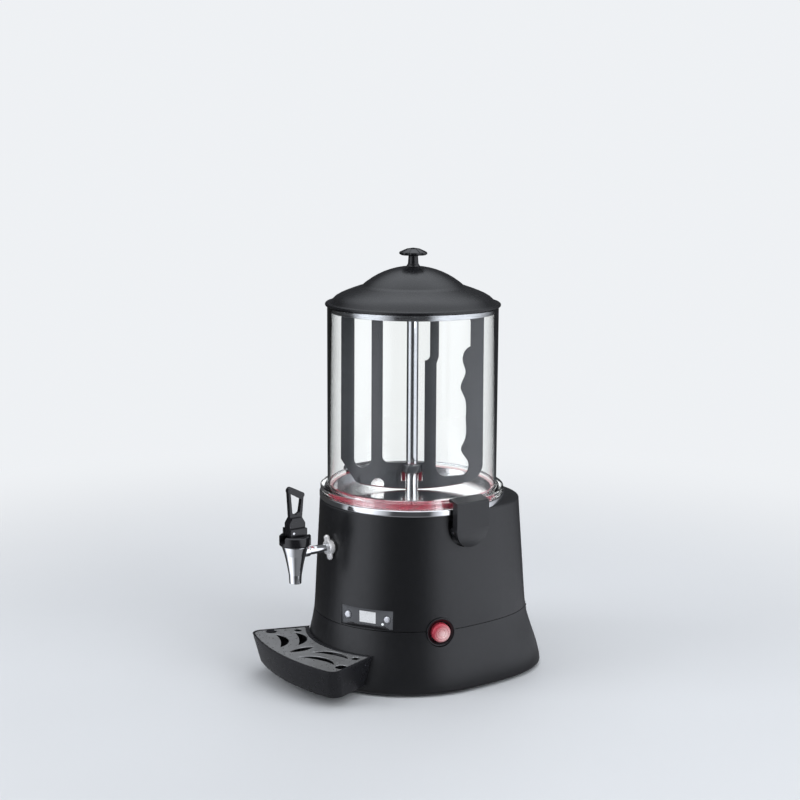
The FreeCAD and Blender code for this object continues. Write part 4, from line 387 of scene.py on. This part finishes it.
def display_glass(name, colour):
    """Pale display: a fine grid of cells behind clear plastic."""
    finish, tree, shader, where = started(name)
    cells = tree.nodes.new("ShaderNodeTexVoronoi")
    cells.inputs["Scale"].default_value = 900.0
    tree.links.new(where, cells.inputs["Vector"])
    tint = tinted(tree, cells.outputs["Distance"], shade(colour, 1.04), shade(colour, 0.9), 0.2, 0.8)
    tree.links.new(tint, shader.inputs["Base Color"])
    tree.links.new(tint, shader.inputs["Emission Color"])
    tree.links.new(between(tree, speckle(tree, where, 150.0), 0.12, 0.2), shader.inputs["Roughness"])
    shader.inputs["Emission Strength"].default_value = 0.35
    return finish


# Settings

def tint_setting(name, about, colour):
    """Colour that a user can change."""
    return bpy.props.FloatVectorProperty(name=name, description=about, subtype="COLOR", size=3,
                                         min=0.0, max=1.0, default=colour)


class DispenserHousingLook(bpy.types.PropertyGroup):
    plastic: tint_setting("Housing", "Colour of the moulded housing", (0.0105, 0.0110, 0.0125))
    latch: tint_setting("Latches", "Colour of the latches", (0.0095, 0.0100, 0.0115))
    grain: bpy.props.FloatProperty(name="Grain", description="Depth of the moulded grain, in millimetres",
                                   default=0.02, min=0.0, max=0.2)


class DispenserBowlLook(bpy.types.PropertyGroup):
    clear: tint_setting("Bowl", "Tint of the clear bowl", (0.97, 0.985, 0.985))
    haze: bpy.props.FloatProperty(name="Haze", description="Roughness of the clear plastic", default=0.01,
                                  min=0.0, max=0.3, subtype="FACTOR")
    gasket: tint_setting("Gasket", "Colour of the seal at the bowl's foot", (0.70, 0.05, 0.10))
    lid: tint_setting("Lid", "Colour of the lid and its knob", (0.0085, 0.009, 0.0105))
    paddle: tint_setting("Paddle", "Colour of the paddle", (0.042, 0.044, 0.050))


class DispenserMetalLook(bpy.types.PropertyGroup):
    steel: tint_setting("Steel", "Colour of the stainless steel", (0.72, 0.72, 0.73))
    chrome: tint_setting("Chrome", "Colour of the plated tap", (0.86, 0.87, 0.88))


class DispenserPanelLook(bpy.types.PropertyGroup):
    face: tint_setting("Panel", "Colour of the control panel", (0.11, 0.115, 0.125))
    display: tint_setting("Display", "Colour of the display", (0.70, 0.72, 0.74))
    button: tint_setting("Power button", "Colour of the power button", (0.42, 0.045, 0.07))
    glow: bpy.props.FloatProperty(name="Glow", description="Strength of the power button's lamp",
                                  default=0.12, min=0.0, max=5.0)


class DispenserStageLook(bpy.types.PropertyGroup):
    floor: tint_setting("Floor", "Colour of the floor", (0.67, 0.70, 0.735))
    backdrop: tint_setting("Backdrop", "Colour seen behind the dispenser", (0.86, 0.88, 0.905))
    light: bpy.props.FloatProperty(name="Light", description="Brightness of all the lamps", default=1.0,
                                   min=0.0, max=10.0)


def looks(context):
    """All the settings of the dispenser."""
    return context.scene.dispenser


class DispenserLooks(bpy.types.PropertyGroup):
    housing: bpy.props.PointerProperty(type=DispenserHousingLook)
    bowl: bpy.props.PointerProperty(type=DispenserBowlLook)
    metal: bpy.props.PointerProperty(type=DispenserMetalLook)
    panel: bpy.props.PointerProperty(type=DispenserPanelLook)
    stage: bpy.props.PointerProperty(type=DispenserStageLook)


def coat(names, finish, edge=0.0, segments=2):
    """Gives solids a finish, and softened edges where an edge width is given."""
    for name in names:
        solid = NODES[name]
        solid.data.materials.clear()
        solid.data.materials.append(finish)
        if edge:
            soften(solid, edge, segments)


# Pieces

class DISPENSER_OT_housing(bpy.types.Operator):
    """Flared plastic housing with its base plate, feet and screws"""
    bl_idname = "dispenser.housing"
    bl_label = "Housing"

    def execute(self, context):
        look = looks(context).housing
        shell = moulded_plastic("housing_plastic", look.plastic, look.grain, (0.30, 0.36), 0.06)
        coat(("upper_housing", "lower_housing"), shell)
        coat(("base_plate",), moulded_plastic("base_paint", (0.012, 0.012, 0.013), 0.03))
        coat(("rubber_feet",), soft_rubber("foot_rubber", (0.02, 0.02, 0.02)), 0.5)
        coat(("housing_screws",), polished_metal("screw_zinc", (0.62, 0.62, 0.60), (0.2, 0.35)))
        return {"FINISHED"}


class DISPENSER_OT_bowl(bpy.types.Operator):
    """Clear bowl, red gasket, steel floor and the bright ring it stands on"""
    bl_idname = "dispenser.bowl"
    bl_label = "Bowl"

    def execute(self, context):
        look = looks(context)
        clear = clear_plastic("bowl_clear", look.bowl.clear, look.bowl.haze)
        wall = rounded([(BOWL_INSIDE, 246.1, 0.6), (125.9, 246.1, 1.4), (126.5, 255.0, 1.6),
                        (BOWL_OUTSIDE, 255.0, 4.0), (BOWL_OUTSIDE, BOWL_TOP, 1.1),
                        (BOWL_INSIDE, BOWL_TOP, 1.1)])
        bowl = turned_piece("bowl_wall", wall, "machine", clear, 192)
        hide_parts("bowl")

        ring = rounded([(PAN_RADIUS, 237.5, 0), (127.0, 237.5, 0.8), (127.6, 239.0, 0.6),
                        (127.6, RING_TOP, 1.6), (PAN_RADIUS, RING_TOP, 0)])
        bright = polished_metal("ring_polish", look.metal.chrome, (0.09, 0.14))
        piece = turned_piece("bright_ring", ring, "machine", bright, 192)
        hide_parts("seat_ring")

        seal = rounded([(PAN_RADIUS, RING_TOP, 0), (113.2, RING_TOP, 0.4), (113.2, 248.2, 0.4),
                        (112.2, 248.8, 0.3), (113.2, 249.6, 0.4), (113.2, 252.6, 0.8), (112.0, 254.0, 0.8),
                        (108.8, 254.0, 0.8), (108.8, 252.0, 0), (PAN_RADIUS, 252.0, 0)])
        red = tinted_silicone("gasket_silicone", look.bowl.gasket, 0.24)
        piece = turned_piece("gasket_ring", seal, "machine", red, 192)
        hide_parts("bowl_gasket")

        coat(("bowl_pan",), polished_metal("pan_satin", shade(look.metal.steel, 0.85), (0.16, 0.22), 0.002))
        return {"FINISHED"}


def dome_height(radius, apex=555.5, crease_radius=67.5, crease=530.6):
    """Height of the lid's dome over a radius."""
    sag = apex - crease
    ball = (crease_radius ** 2 + sag ** 2) / (2 * sag)
    return apex - ball + math.sqrt(ball ** 2 - radius ** 2)


def knob_lobes(angle, height):
    """Six shallow notches in the knob's head."""
    if height < 569.0:
        return 1.0
    return 1.0 - 0.11 * (0.5 + 0.5 * math.cos(6 * angle)) ** 5


class DISPENSER_OT_lid(bpy.types.Operator):
    """Domed lid with a rolled lip, its steel skirt and the knob with its screw"""
    bl_idname = "dispenser.lid"
    bl_label = "Lid"

    def execute(self, context):
        look = looks(context)
        black = moulded_plastic("lid_plastic", look.bowl.lid, 0.008, (0.25, 0.31), 0.06)
        dome = [(0.0, 555.5)] + [(r, dome_height(r)) for r in (8, 16, 24, 32, 40, 48, 56, 63, 66.3)]
        skirt = [(67.5, 530.5), (69.0, 529.2), (76.0, 526.9), (84.0, 524.1), (92.0, 521.0), (99.0, 517.9),
                 (105.0, 514.4), (109.5, 510.2), (112.2, 506.4), (113.4, 505.2), (114.6, 505.3),
                 (116.0, 506.2), (117.6, 506.4), (118.9, 505.4), (119.5, 503.9), (119.0, 502.3),
                 (117.6, 501.3), (116.2, 501.2), (110.0, 501.2), (110.0, 503.0)]
        inside = [(105.0, 510.0), (98.0, 514.6), (84.0, 520.8), (66.0, 527.2), (48.0, 541.3), (24.0, 550.3),
                  (0.0, 553.0)]
        piece = turned_piece("lid_dome", dome + skirt + inside, "lid_set", black, 160,
                             closed=False, smooth_angle=50.0)
        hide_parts("lid")

        steel = brushed_metal("skirt_steel", look.metal.steel, (1.0, 1.0, 12.0), (0.10, 0.18), 0.002)
        band = rounded([(112.0, 493.6, 0.3), (113.0, 493.6, 0.4), (113.0, 501.2, 0), (112.0, 501.2, 0)], 3)
        piece = turned_piece("lid_band", band, "lid_set", steel, 192)
        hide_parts("lid_skirt")

        knob = rounded([(0.0, 554.8, 0), (9.5, 554.9, 0), (7.2, 558.5, 2.0), (6.4, 570.0, 1.2),
                        (16.5, 570.0, 1.0), (19.5, 571.6, 0.8), (19.0, 574.2, 1.5), (9.0, 578.6, 6.0),
                        (0.0, 580.0, 0)])
        gloss = moulded_plastic("knob_plastic", look.bowl.lid, 0.004, (0.12, 0.18), 0.06)
        piece = turned_piece("knob_head", knob, "lid_set", gloss, 120, closed=False,
                             swell=knob_lobes)
        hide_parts("lid_knob")
        coat(("knob_screw",), polished_metal("knob_screw_steel", look.metal.steel, (0.2, 0.3)))
        return {"FINISHED"}


def paddle_place(x, y, z):
    """Own x across the paddle, own y up, own z out of its face."""
    return spot(x * math.cos(PADDLE_TURN) + z * math.sin(PADDLE_TURN),
                x * math.sin(PADDLE_TURN) - z * math.cos(PADDLE_TURN), y)


class DISPENSER_OT_paddle(bpy.types.Operator):
    """Stirring paddle with its wiper, the steel column it turns round and the shaft inside"""
    bl_idname = "dispenser.paddle"
    bl_label = "Paddle and column"

    def execute(self, context):
        look = looks(context)
        grey = moulded_plastic("paddle_plastic", look.bowl.paddle, 0.015, (0.30, 0.40), 0.08)
        coat(("paddle",), grey, 0.5)

        across = [-PADDLE_HALF_WIDTH + 2 * PADDLE_HALF_WIDTH * k / 24 for k in range(25)]
        low = [(x, 245.7 + 7.6 * (abs(x) / PADDLE_HALF_WIDTH) ** 2) for x in across]
        high = [(x, y + 1.3) for x, y in reversed(low)]
        wiper = soft_rubber("wiper_silicone", shade(look.bowl.gasket, 0.2), (0.3, 0.45), 0.05)
        points, faces = slab_mesh(low + high, -0.9, 0.9, paddle_place)
        new_piece("paddle_wiper", points, faces, "paddle_set", wiper)
        for name, middle in (("left", -HUB_PAD_ACROSS), ("right", HUB_PAD_ACROSS)):
            pad = rounded([(middle - 2.4, 257.5, 0.8), (middle + 2.4, 257.5, 0.8), (middle + 2.4, 269.5, 0.8),
                           (middle - 2.4, 269.5, 0.8)], 3)
            points, faces = slab_mesh(pad, -2.0, 2.0, paddle_place)
            soften(new_piece("paddle_pad_" + name, points, faces, "paddle_set", wiper), 0.4)

        bright = polished_metal("column_polish", look.metal.steel, (0.05, 0.10), 0.003)
        tube = rounded([(6.0, 144.0, 0.3), (8.0, 144.0, 0.4), (8.0, 478.0, 0.8), (6.0, 478.0, 0.4)], 3)
        piece = turned_piece("column_tube", tube, "machine", bright, 96)
        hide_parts("centre_column")
        coat(("column_bushes",), moulded_plastic("bush_nylon", (0.80, 0.80, 0.76), 0.01))
        coat(("drive_shaft",), polished_metal("shaft_steel", look.metal.steel, (0.12, 0.2)))
        return {"FINISHED"}


def at_tap(x, y, z):
    """Own z up, on the tap's upright axis."""
    return spot(x, TAP_Y + y, z)


def along_spout(out, up):
    """Own z runs forwards along the tap's shank."""
    def place(x, y, z):
        return spot(x, -(out + z), up + y)
    return place


class DISPENSER_OT_tap(bpy.types.Operator):
    """Plated tap with its shank, wing nut, black collar and loop lever"""
    bl_idname = "dispenser.tap"
    bl_label = "Tap"

    def execute(self, context):
        look = looks(context)
        chrome = polished_metal("tap_chrome", look.metal.chrome, (0.03, 0.06), 0.002)
        black = moulded_plastic("tap_plastic", (0.010, 0.010, 0.012), 0.004, (0.10, 0.16), 0.1)
        cone = rounded([(0.0, 172.0, 0), (5.0, 172.0, 0), (5.0, 143.0, 0.4), (8.0, 143.0, 0.6),
                        (8.7, 155.0, 12.0), (11.2, 169.0, 20.0), (14.1, 182.0, 30.0), (17.8, 194.0, 0.8),
                        (17.8, 195.0, 0.3), (8.5, 195.0, 0.2), (8.5, 172.0, 0)], 6)
        body = turned_piece("tap_cone", cone, "machine", chrome, 96, at_tap, smooth_angle=50.0)
        neck = rounded([(5.6, 0.0, 0), (7.2, 0.0, 0.6), (7.2, 11.5, 1.2), (5.6, 13.0, 0)])
        turned_piece("tap_neck", neck, "machine", chrome, 64, along_spout(NECK_OUT, NECK_UP))
        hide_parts("tap_body")
        coat(("tap_shank",), chrome)
        coat(("tap_bonnet",), black, 0.5, 3)
        coat(("tap_washers",), soft_rubber("washer_rubber", (0.02, 0.02, 0.02)), 0.3)
        coat(("lever_pin", "stem_pin", "valve_stem", "valve_spring"),
             polished_metal("valve_steel", look.metal.steel, (0.15, 0.25)))
        coat(("valve_seal",), soft_rubber("seal_rubber", (0.02, 0.02, 0.02)))
        coat(("tap_lever",), black, 0.9, 3)
        coat(("wing_nut",), cast_metal("wing_nickel", (0.95, 0.95, 0.96), 0.35), 1.0, 3)
        coat(("outlet_union",), polished_metal("union_brass", (0.72, 0.52, 0.22), (0.15, 0.3)), 0.4)
        coat(("outlet_pipe",), brushed_metal("pipe_steel", look.metal.steel, (1.0, 1.0, 6.0)))
        return {"FINISHED"}


class DISPENSER_OT_latches(bpy.types.Operator):
    """Two latches that hold the bowl's flange, with their pins and springs"""
    bl_idname = "dispenser.latches"
    bl_label = "Latches"

    def execute(self, context):
        look = looks(context)
        plastic = moulded_plastic("latch_plastic", look.housing.latch, look.housing.grain, (0.30, 0.38), 0.06)
        coat(("latch_right", "latch_left"), plastic, 0.9, 3)
        bright = polished_metal("latch_steel", look.metal.steel, (0.1, 0.2))
        coat(("latch_pins", "latch_springs"), bright)
        return {"FINISHED"}


class DISPENSER_OT_tray(bpy.types.Operator):
    """Drip tray and its steel grille"""
    bl_idname = "dispenser.tray"
    bl_label = "Drip tray"

    def execute(self, context):
        look = looks(context)
        black = moulded_plastic("tray_plastic", (0.014, 0.0145, 0.017), 0.001, (0.26, 0.32), 0.04)
        coat(("drip_tray",), black, 0.8, 3)
        steel = cast_metal("grille_steel", (0.54, 0.55, 0.56), 0.75)
        coat(("drip_grille",), steel, 0.3)
        return {"FINISHED"}


class DISPENSER_OT_panel(bpy.types.Operator):
    """Thermostat panel with its display, lamp, two buttons and a thin black wavy band along its lower edge"""
    bl_idname = "dispenser.panel"
    bl_label = "Control panel"

    def execute(self, context):
        look = looks(context).panel
        coat(("panel_fascia",), moulded_plastic("panel_plastic", look.face, 0.01, (0.3, 0.38), 0.1), 0.25)
        coat(("panel_display",), display_glass("display_pale", look.display))
        coat(("panel_lamp",), lit_plastic("lamp_white", (0.85, 0.9, 0.95), 0.6))
        coat(("thermostat_box",), moulded_plastic("thermostat_plastic", (0.02, 0.02, 0.022)))
        silver = polished_metal("button_silver", (0.80, 0.81, 0.84), (0.34, 0.40), 0.002)
        cap = rounded([(0.0, -2.6, 0), (5.0, -2.6, 0), (5.0, 0.7, 0.8), (3.4, 1.5, 1.5), (0.0, 1.6, 0)], 6)
        for name, along in (("left", -BUTTON_ALONG), ("right", BUTTON_ALONG)):
            piece = turned_piece("button_cap_" + name, cap, name + "_button", silver, 64,
                                 facing(PANEL_TURN, PANEL_OUT, along + PANEL_ALONG, PANEL_UP), closed=False)
            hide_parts("button_" + name)
        # Thin black sheet with a wavy top edge, laid just in front of the panel's lower edge to make a dark
        # band there
        lip = [(-33.0, -13.1), (-29.5, -11.6), (-26.0, -10.0), (-22.0, -9.8), (-18.5, -11.2), (-14.0, -11.6),
               (0.0, -11.0), (12.0, -10.9), (20.0, -10.2), (25.0, -9.6), (29.0, -11.0), (32.0, -12.6),
               (33.0, -13.1)]
        points, faces = slab_mesh(lip, 0.02, 1.2, facing(PANEL_TURN, PANEL_OUT, PANEL_ALONG, PANEL_UP))
        shiny = moulded_plastic("dark_band_plastic", (0.012, 0.012, 0.014), 0.004, (0.2, 0.3))
        piece = new_piece("panel_dark_band", points, faces, "machine", shiny)
        soften(piece, 0.3)
        return {"FINISHED"}


class DISPENSER_OT_switch(bpy.types.Operator):
    """Round lit power button in its black bezel"""
    bl_idname = "dispenser.switch"
    bl_label = "Power button"

    def execute(self, context):
        look = looks(context).panel
        place = facing(SWITCH_TURN, SWITCH_OUT, 0.0, SWITCH_UP)
        gloss = moulded_plastic("bezel_plastic", (0.006, 0.006, 0.008), 0.002, (0.32, 0.40), 0.1)
        ring = rounded([(14.4, -10.0, 0), (19.5, -10.0, 0), (19.5, -0.6, 0.6), (18.6, 0.0, 0.6),
                        (17.6, -0.4, 0.4), (14.6, -2.8, 0.4)])
        piece = turned_piece("bezel_ring", ring, "machine", gloss, 96, place)
        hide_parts("switch_bezel")
        cap = rounded([(0.0, -5.7, 0), (12.6, -5.7, 0), (12.6, 2.4, 1.0), (11.0, 4.0, 1.2), (9.4, 4.5, 0.4),
                       (8.9, 3.7, 0.3), (8.1, 3.7, 0.3), (7.6, 4.5, 0.4), (5.9, 4.5, 0.4), (5.4, 3.6, 0.3),
                       (4.6, 3.6, 0.3), (4.1, 4.5, 0.4), (0.0, 4.5, 0)])
        # The second point marks the side where the lens's painted highlight is palest.
        red = button_plastic("button_red_painted_highlight", look.button, look.glow, place(0.0, 0.0, 4.5),
                             place(12.0, -9.0, 4.5))
        piece = turned_piece("power_cap", cap, "switch_cap", red, 96, place, closed=False)
        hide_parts("power_button")
        coat(("switch_body",), moulded_plastic("switch_plastic", (0.02, 0.02, 0.022)))
        return {"FINISHED"}


class DISPENSER_OT_works(bpy.types.Operator):
    """Water bath, heater, gear motor and electrics inside, and the fittings at the rear"""
    bl_idname = "dispenser.works"
    bl_label = "Inner works"

    def execute(self, context):
        look = looks(context).metal
        coat(("water_tank",), brushed_metal("tank_steel", look.steel, (1.0, 1.0, 8.0)))
        coat(("tank_seal", "drain_cap"), soft_rubber("drain_rubber", (0.02, 0.02, 0.02)), 0.2)
        coat(("heating_element", "drain_pipe", "motor_pinion"),
             brushed_metal("heater_steel", (0.55, 0.54, 0.52), (3.0, 3.0, 1.0)))
        coat(("tank_nuts",), polished_metal("nut_brass", (0.72, 0.52, 0.22), (0.2, 0.35)), 0.3)
        coat(("thermal_cutout", "output_gear"), moulded_plastic("works_nylon", (0.78, 0.77, 0.72), 0.01))
        coat(("gear_case", "gear_case_lid", "gear_motor"),
             moulded_plastic("motor_paint", (0.26, 0.27, 0.28), 0.02, (0.3, 0.4)), 0.4)
        coat(("motor_posts",), polished_metal("post_zinc", (0.60, 0.60, 0.58), (0.25, 0.4)))
        coat(("power_inlet",), moulded_plastic("inlet_plastic", (0.015, 0.015, 0.016), 0.01, (0.3, 0.4)), 0.4)
        coat(("control_board",), moulded_plastic("board_green", (0.03, 0.20, 0.09), 0.01, (0.3, 0.45)))
        return {"FINISHED"}


# Stage

def room_bands(tree, direction):
    """Brightness round the room: dark behind the camera and at the rear left, bright at both sides."""
    link = tree.links.new
    split = tree.nodes.new("ShaderNodeSeparateXYZ")
    link(direction, split.inputs["Vector"])
    around = tree.nodes.new("ShaderNodeMath")
    around.operation = "ARCTAN2"
    link(split.outputs["Y"], around.inputs[0])
    link(split.outputs["X"], around.inputs[1])
    share = tree.nodes.new("ShaderNodeMapRange")
    share.inputs["From Min"].default_value = -math.pi
    share.inputs["From Max"].default_value = math.pi
    link(around.outputs["Value"], share.inputs["Value"])
    bands = tree.nodes.new("ShaderNodeValToRGB")
    stops = [((angle + 180.0) / 360.0, level) for angle, level in ROOM_LEVELS]
    ramp = bands.color_ramp
    ramp.elements[0].position, ramp.elements[0].color = stops[0][0], (*(stops[0][1],) * 3, 1)
    ramp.elements[1].position, ramp.elements[1].color = stops[-1][0], (*(stops[-1][1],) * 3, 1)
    for position, level in stops[1:-1]:
        ramp.elements.new(position).color = (level * 0.96, level * 0.99, level * 1.07, 1)
    link(share.outputs["Result"], bands.inputs["Fac"])
    return bands.outputs["Color"], split.outputs["Z"]


def combined(tree, operation, first, second):
    """Result of a sum on two values, kept from zero to one."""
    node = tree.nodes.new("ShaderNodeMath")
    node.operation = operation
    node.use_clamp = True
    tree.links.new(first, node.inputs[0])
    tree.links.new(second, node.inputs[1])
    return node.outputs["Value"]


def mixed(tree, factor, first, second):
    """First shader where the factor is zero, second where it is one."""
    node = tree.nodes.new("ShaderNodeMixShader")
    tree.links.new(factor, node.inputs["Fac"])
    tree.links.new(first, node.inputs[1])
    tree.links.new(second, node.inputs[2])
    return node.outputs["Shader"]


def glow(tree, kind, colour, strength=1.0):
    """Background or emission of a plain colour, or of a linked one."""
    node = tree.nodes.new(kind)
    node.inputs["Strength"].default_value = strength
    if isinstance(colour, bpy.types.NodeSocket):
        tree.links.new(colour, node.inputs["Color"])
    else:
        node.inputs["Color"].default_value = (*colour, 1)
    return node.outputs[0]


def mirrored(tree, path):
    """One for light that has left a glossy face, also where it then passes through the bowl."""
    return combined(tree, "MULTIPLY", path["Glossy Depth"], path["Glossy Depth"])


def straight(tree, path):
    """One for what the eye sees directly or through the bowl."""
    return combined(tree, "MAXIMUM", path["Is Camera Ray"], path["Is Transmission Ray"])


def studio_world(backdrop):
    """Pale room: even for the eye and through the clear bowl, with darker bands for gloss and metal."""
    world = bpy.data.worlds.new("studio_world")
    bpy.context.scene.world = world
    world.use_nodes = True
    tree = world.node_tree
    tree.nodes.clear()
    bands, height = room_bands(tree, tree.nodes.new("ShaderNodeTexCoord").outputs["Generated"])
    rise = tree.nodes.new("ShaderNodeMapRange")
    rise.inputs["From Min"].default_value, rise.inputs["From Max"].default_value = CEILING_RISE
    tree.links.new(height, rise.inputs["Value"])
    path = tree.nodes.new("ShaderNodeLightPath").outputs
    plain = glow(tree, "ShaderNodeBackground", (0.50, 0.50, 0.52), 0.6)
    studio = mixed(tree, rise.outputs["Result"], glow(tree, "ShaderNodeBackground", bands, BAND_STRENGTH),
                   glow(tree, "ShaderNodeBackground", (0.92, 0.96, 1.02), CEILING_STRENGTH))
    clear = mixed(tree, path["Is Transmission Ray"], glow(tree, "ShaderNodeBackground", backdrop),
                  glow(tree, "ShaderNodeBackground", (1.0, 1.0, 1.0)))
    shown = mixed(tree, straight(tree, path), plain, clear)
    shown = mixed(tree, mirrored(tree, path), shown, studio)
    tree.links.new(shown, tree.nodes.new("ShaderNodeOutputWorld").inputs["Surface"])


def add_floor(colour, backdrop):
    """Pale floor that keeps the shadow and runs into the backdrop further out; next to the housing, gloss
    sees a painted shade on it.
    """
    points, faces = turned_mesh([(0.0, 0.0), (12.0, 0.0)], 64, closed=False)
    mesh = bpy.data.meshes.new("floor")
    mesh.from_pydata(points, [], faces)
    finish, tree, shader, where = started("floor_pale")
    tree.links.new(tinted(tree, speckle(tree, where, 3.0), shade(colour, 0.985), colour),
                   shader.inputs["Base Color"])
    tree.links.new(between(tree, speckle(tree, where, 20.0), 0.10, 0.16), shader.inputs["Roughness"])
    shader.inputs["Specular IOR Level"].default_value = 0.0
    path = tree.nodes.new("ShaderNodeLightPath").outputs
    distance = tree.nodes.new("ShaderNodeVectorMath")
    distance.operation = "LENGTH"
    tree.links.new(where, distance.inputs[0])
    away = tree.nodes.new("ShaderNodeMapRange")
    away.interpolation_type = "SMOOTHSTEP"
    away.inputs["From Min"].default_value, away.inputs["From Max"].default_value = FLOOR_FADE
    tree.links.new(distance.outputs["Value"], away.inputs["Value"])
    clear = mixed(tree, path["Is Transmission Ray"], glow(tree, "ShaderNodeEmission", backdrop),
                  glow(tree, "ShaderNodeEmission", (1.0, 1.0, 1.0)))
    far = combined(tree, "MULTIPLY", away.outputs["Result"], straight(tree, path))
    floor = mixed(tree, far, shader.outputs["BSDF"], clear)
    bands = room_bands(tree, where)[0]
    # Gloss sees a dark grey glow next to the housing instead of the lit floor: a painted shade.
    near = tree.nodes.new("ShaderNodeMapRange")
    near.interpolation_type = "SMOOTHSTEP"
    near.inputs["From Min"].default_value, near.inputs["From Max"].default_value = PAINTED_FLOOR_SHADE
    tree.links.new(distance.outputs["Value"], near.inputs["Value"])
    room = mixed(tree, near.outputs["Result"], glow(tree, "ShaderNodeEmission", (0.20, 0.205, 0.22)),
                 glow(tree, "ShaderNodeEmission", bands, BAND_STRENGTH))
    floor = mixed(tree, mirrored(tree, path), floor, room)
    tree.links.new(floor, tree.nodes["Material Output"].inputs["Surface"])
    mesh.materials.append(finish)
    piece = bpy.data.objects.new("floor", mesh)
    bpy.context.scene.collection.objects.link(piece)


def soft_lamp(name, place, aim, size, power):
    """Broad lamp that lights the object without showing in its gloss."""
    data = bpy.data.lights.new(name, "AREA")
    data.shape = "RECTANGLE"
    data.size, data.size_y = size
    data.energy = power
    lamp = bpy.data.objects.new(name, data)
    bpy.context.scene.collection.objects.link(lamp)
    lamp.location = place
    lamp.rotation_euler = (Vector(aim) - Vector(place)).to_track_quat("-Z", "Y").to_euler()
    lamp.visible_glossy = False


def add_camera():
    """Camera at the front right, a little above the bowl."""
    data = bpy.data.cameras.new("camera")
    data.sensor_width = 36.0
    data.lens = 70.36
    data.clip_start, data.clip_end = 0.05, 100.0
    camera = bpy.data.objects.new("camera", data)
    bpy.context.scene.collection.objects.link(camera)
    azimuth, left_turn, pitch, roll = math.radians(54.0), 0.0080, math.radians(10.03), math.radians(0.29)
    level = Vector((-math.sin(azimuth), math.cos(azimuth), 0.0))
    left = Vector((-level.y, level.x, 0.0))
    level = level * math.cos(left_turn) + left * math.sin(left_turn)
    ahead = level * math.cos(pitch) - Vector((0, 0, 1)) * math.sin(pitch)
    right = ahead.cross(Vector((0, 0, 1))).normalized()
    up = right.cross(ahead).normalized()
    up = up * math.cos(roll) - right * math.sin(roll)
    right = ahead.cross(up).normalized()
    turn = Matrix((right, up, -ahead)).transposed()
    place = spot(2112.4 * math.sin(azimuth), -2112.4 * math.cos(azimuth), 744.7)
    camera.matrix_world = Matrix.Translation(place) @ turn.to_4x4()
    bpy.context.scene.camera = camera


class DISPENSER_OT_stage(bpy.types.Operator):
    """Pale floor, soft lamps, room and camera"""
    bl_idname = "dispenser.stage"
    bl_label = "Stage"

    def execute(self, context):
        look = looks(context).stage
        add_floor(look.floor, look.backdrop)
        studio_world(look.backdrop)
        middle = (0.0, 0.02, 0.28)
        light = look.light
        soft_lamp("lamp_right", (2.0, 0.6, 1.3), middle, (1.6, 1.8), 26 * light)
        soft_lamp("lamp_left", (-0.7, -2.1, 1.3), middle, (1.4, 1.6), 22 * light)
        soft_lamp("lamp_top", (0.1, 0.1, 2.4), middle, (2.0, 2.0), 26 * light)
        soft_lamp("lamp_back", (-1.5, 1.7, 1.3), middle, (1.4, 1.6), 14 * light)
        add_camera()
        context.scene.view_settings.view_transform = "Standard"
        return {"FINISHED"}


PIECES = (DISPENSER_OT_housing, DISPENSER_OT_bowl, DISPENSER_OT_lid, DISPENSER_OT_paddle,
          DISPENSER_OT_tap, DISPENSER_OT_latches, DISPENSER_OT_tray, DISPENSER_OT_panel,
          DISPENSER_OT_switch, DISPENSER_OT_works, DISPENSER_OT_stage)


class DISPENSER_PT_sidebar(bpy.types.Panel):
    """Settings and pieces of the dispenser"""
    bl_idname = "DISPENSER_PT_sidebar"
    bl_label = "Dispenser"
    bl_space_type = "VIEW_3D"
    bl_region_type = "UI"
    bl_category = "Dispenser"

    def draw(self, context):
        for part in ("housing", "bowl", "metal", "panel", "stage"):
            group = getattr(looks(context), part)
            column = self.layout.column(heading=part.capitalize())
            for setting in group.__annotations__:
                column.prop(group, setting)
        for piece in PIECES:
            self.layout.operator(piece.bl_idname)


CLASSES = (DispenserHousingLook, DispenserBowlLook, DispenserMetalLook, DispenserPanelLook,
           DispenserStageLook, DispenserLooks, *PIECES, DISPENSER_PT_sidebar)


def register():
    for part in CLASSES:
        bpy.utils.register_class(part)
    bpy.types.Scene.dispenser = bpy.props.PointerProperty(type=DispenserLooks)


def unregister():
    del bpy.types.Scene.dispenser
    for part in reversed(CLASSES):
        bpy.utils.unregister_class(part)


def main():
    register()
    for piece in PIECES:
        group, action = piece.bl_idname.split(".")
        getattr(getattr(bpy.ops, group), action)()


if __name__ == "__main__":
    main()
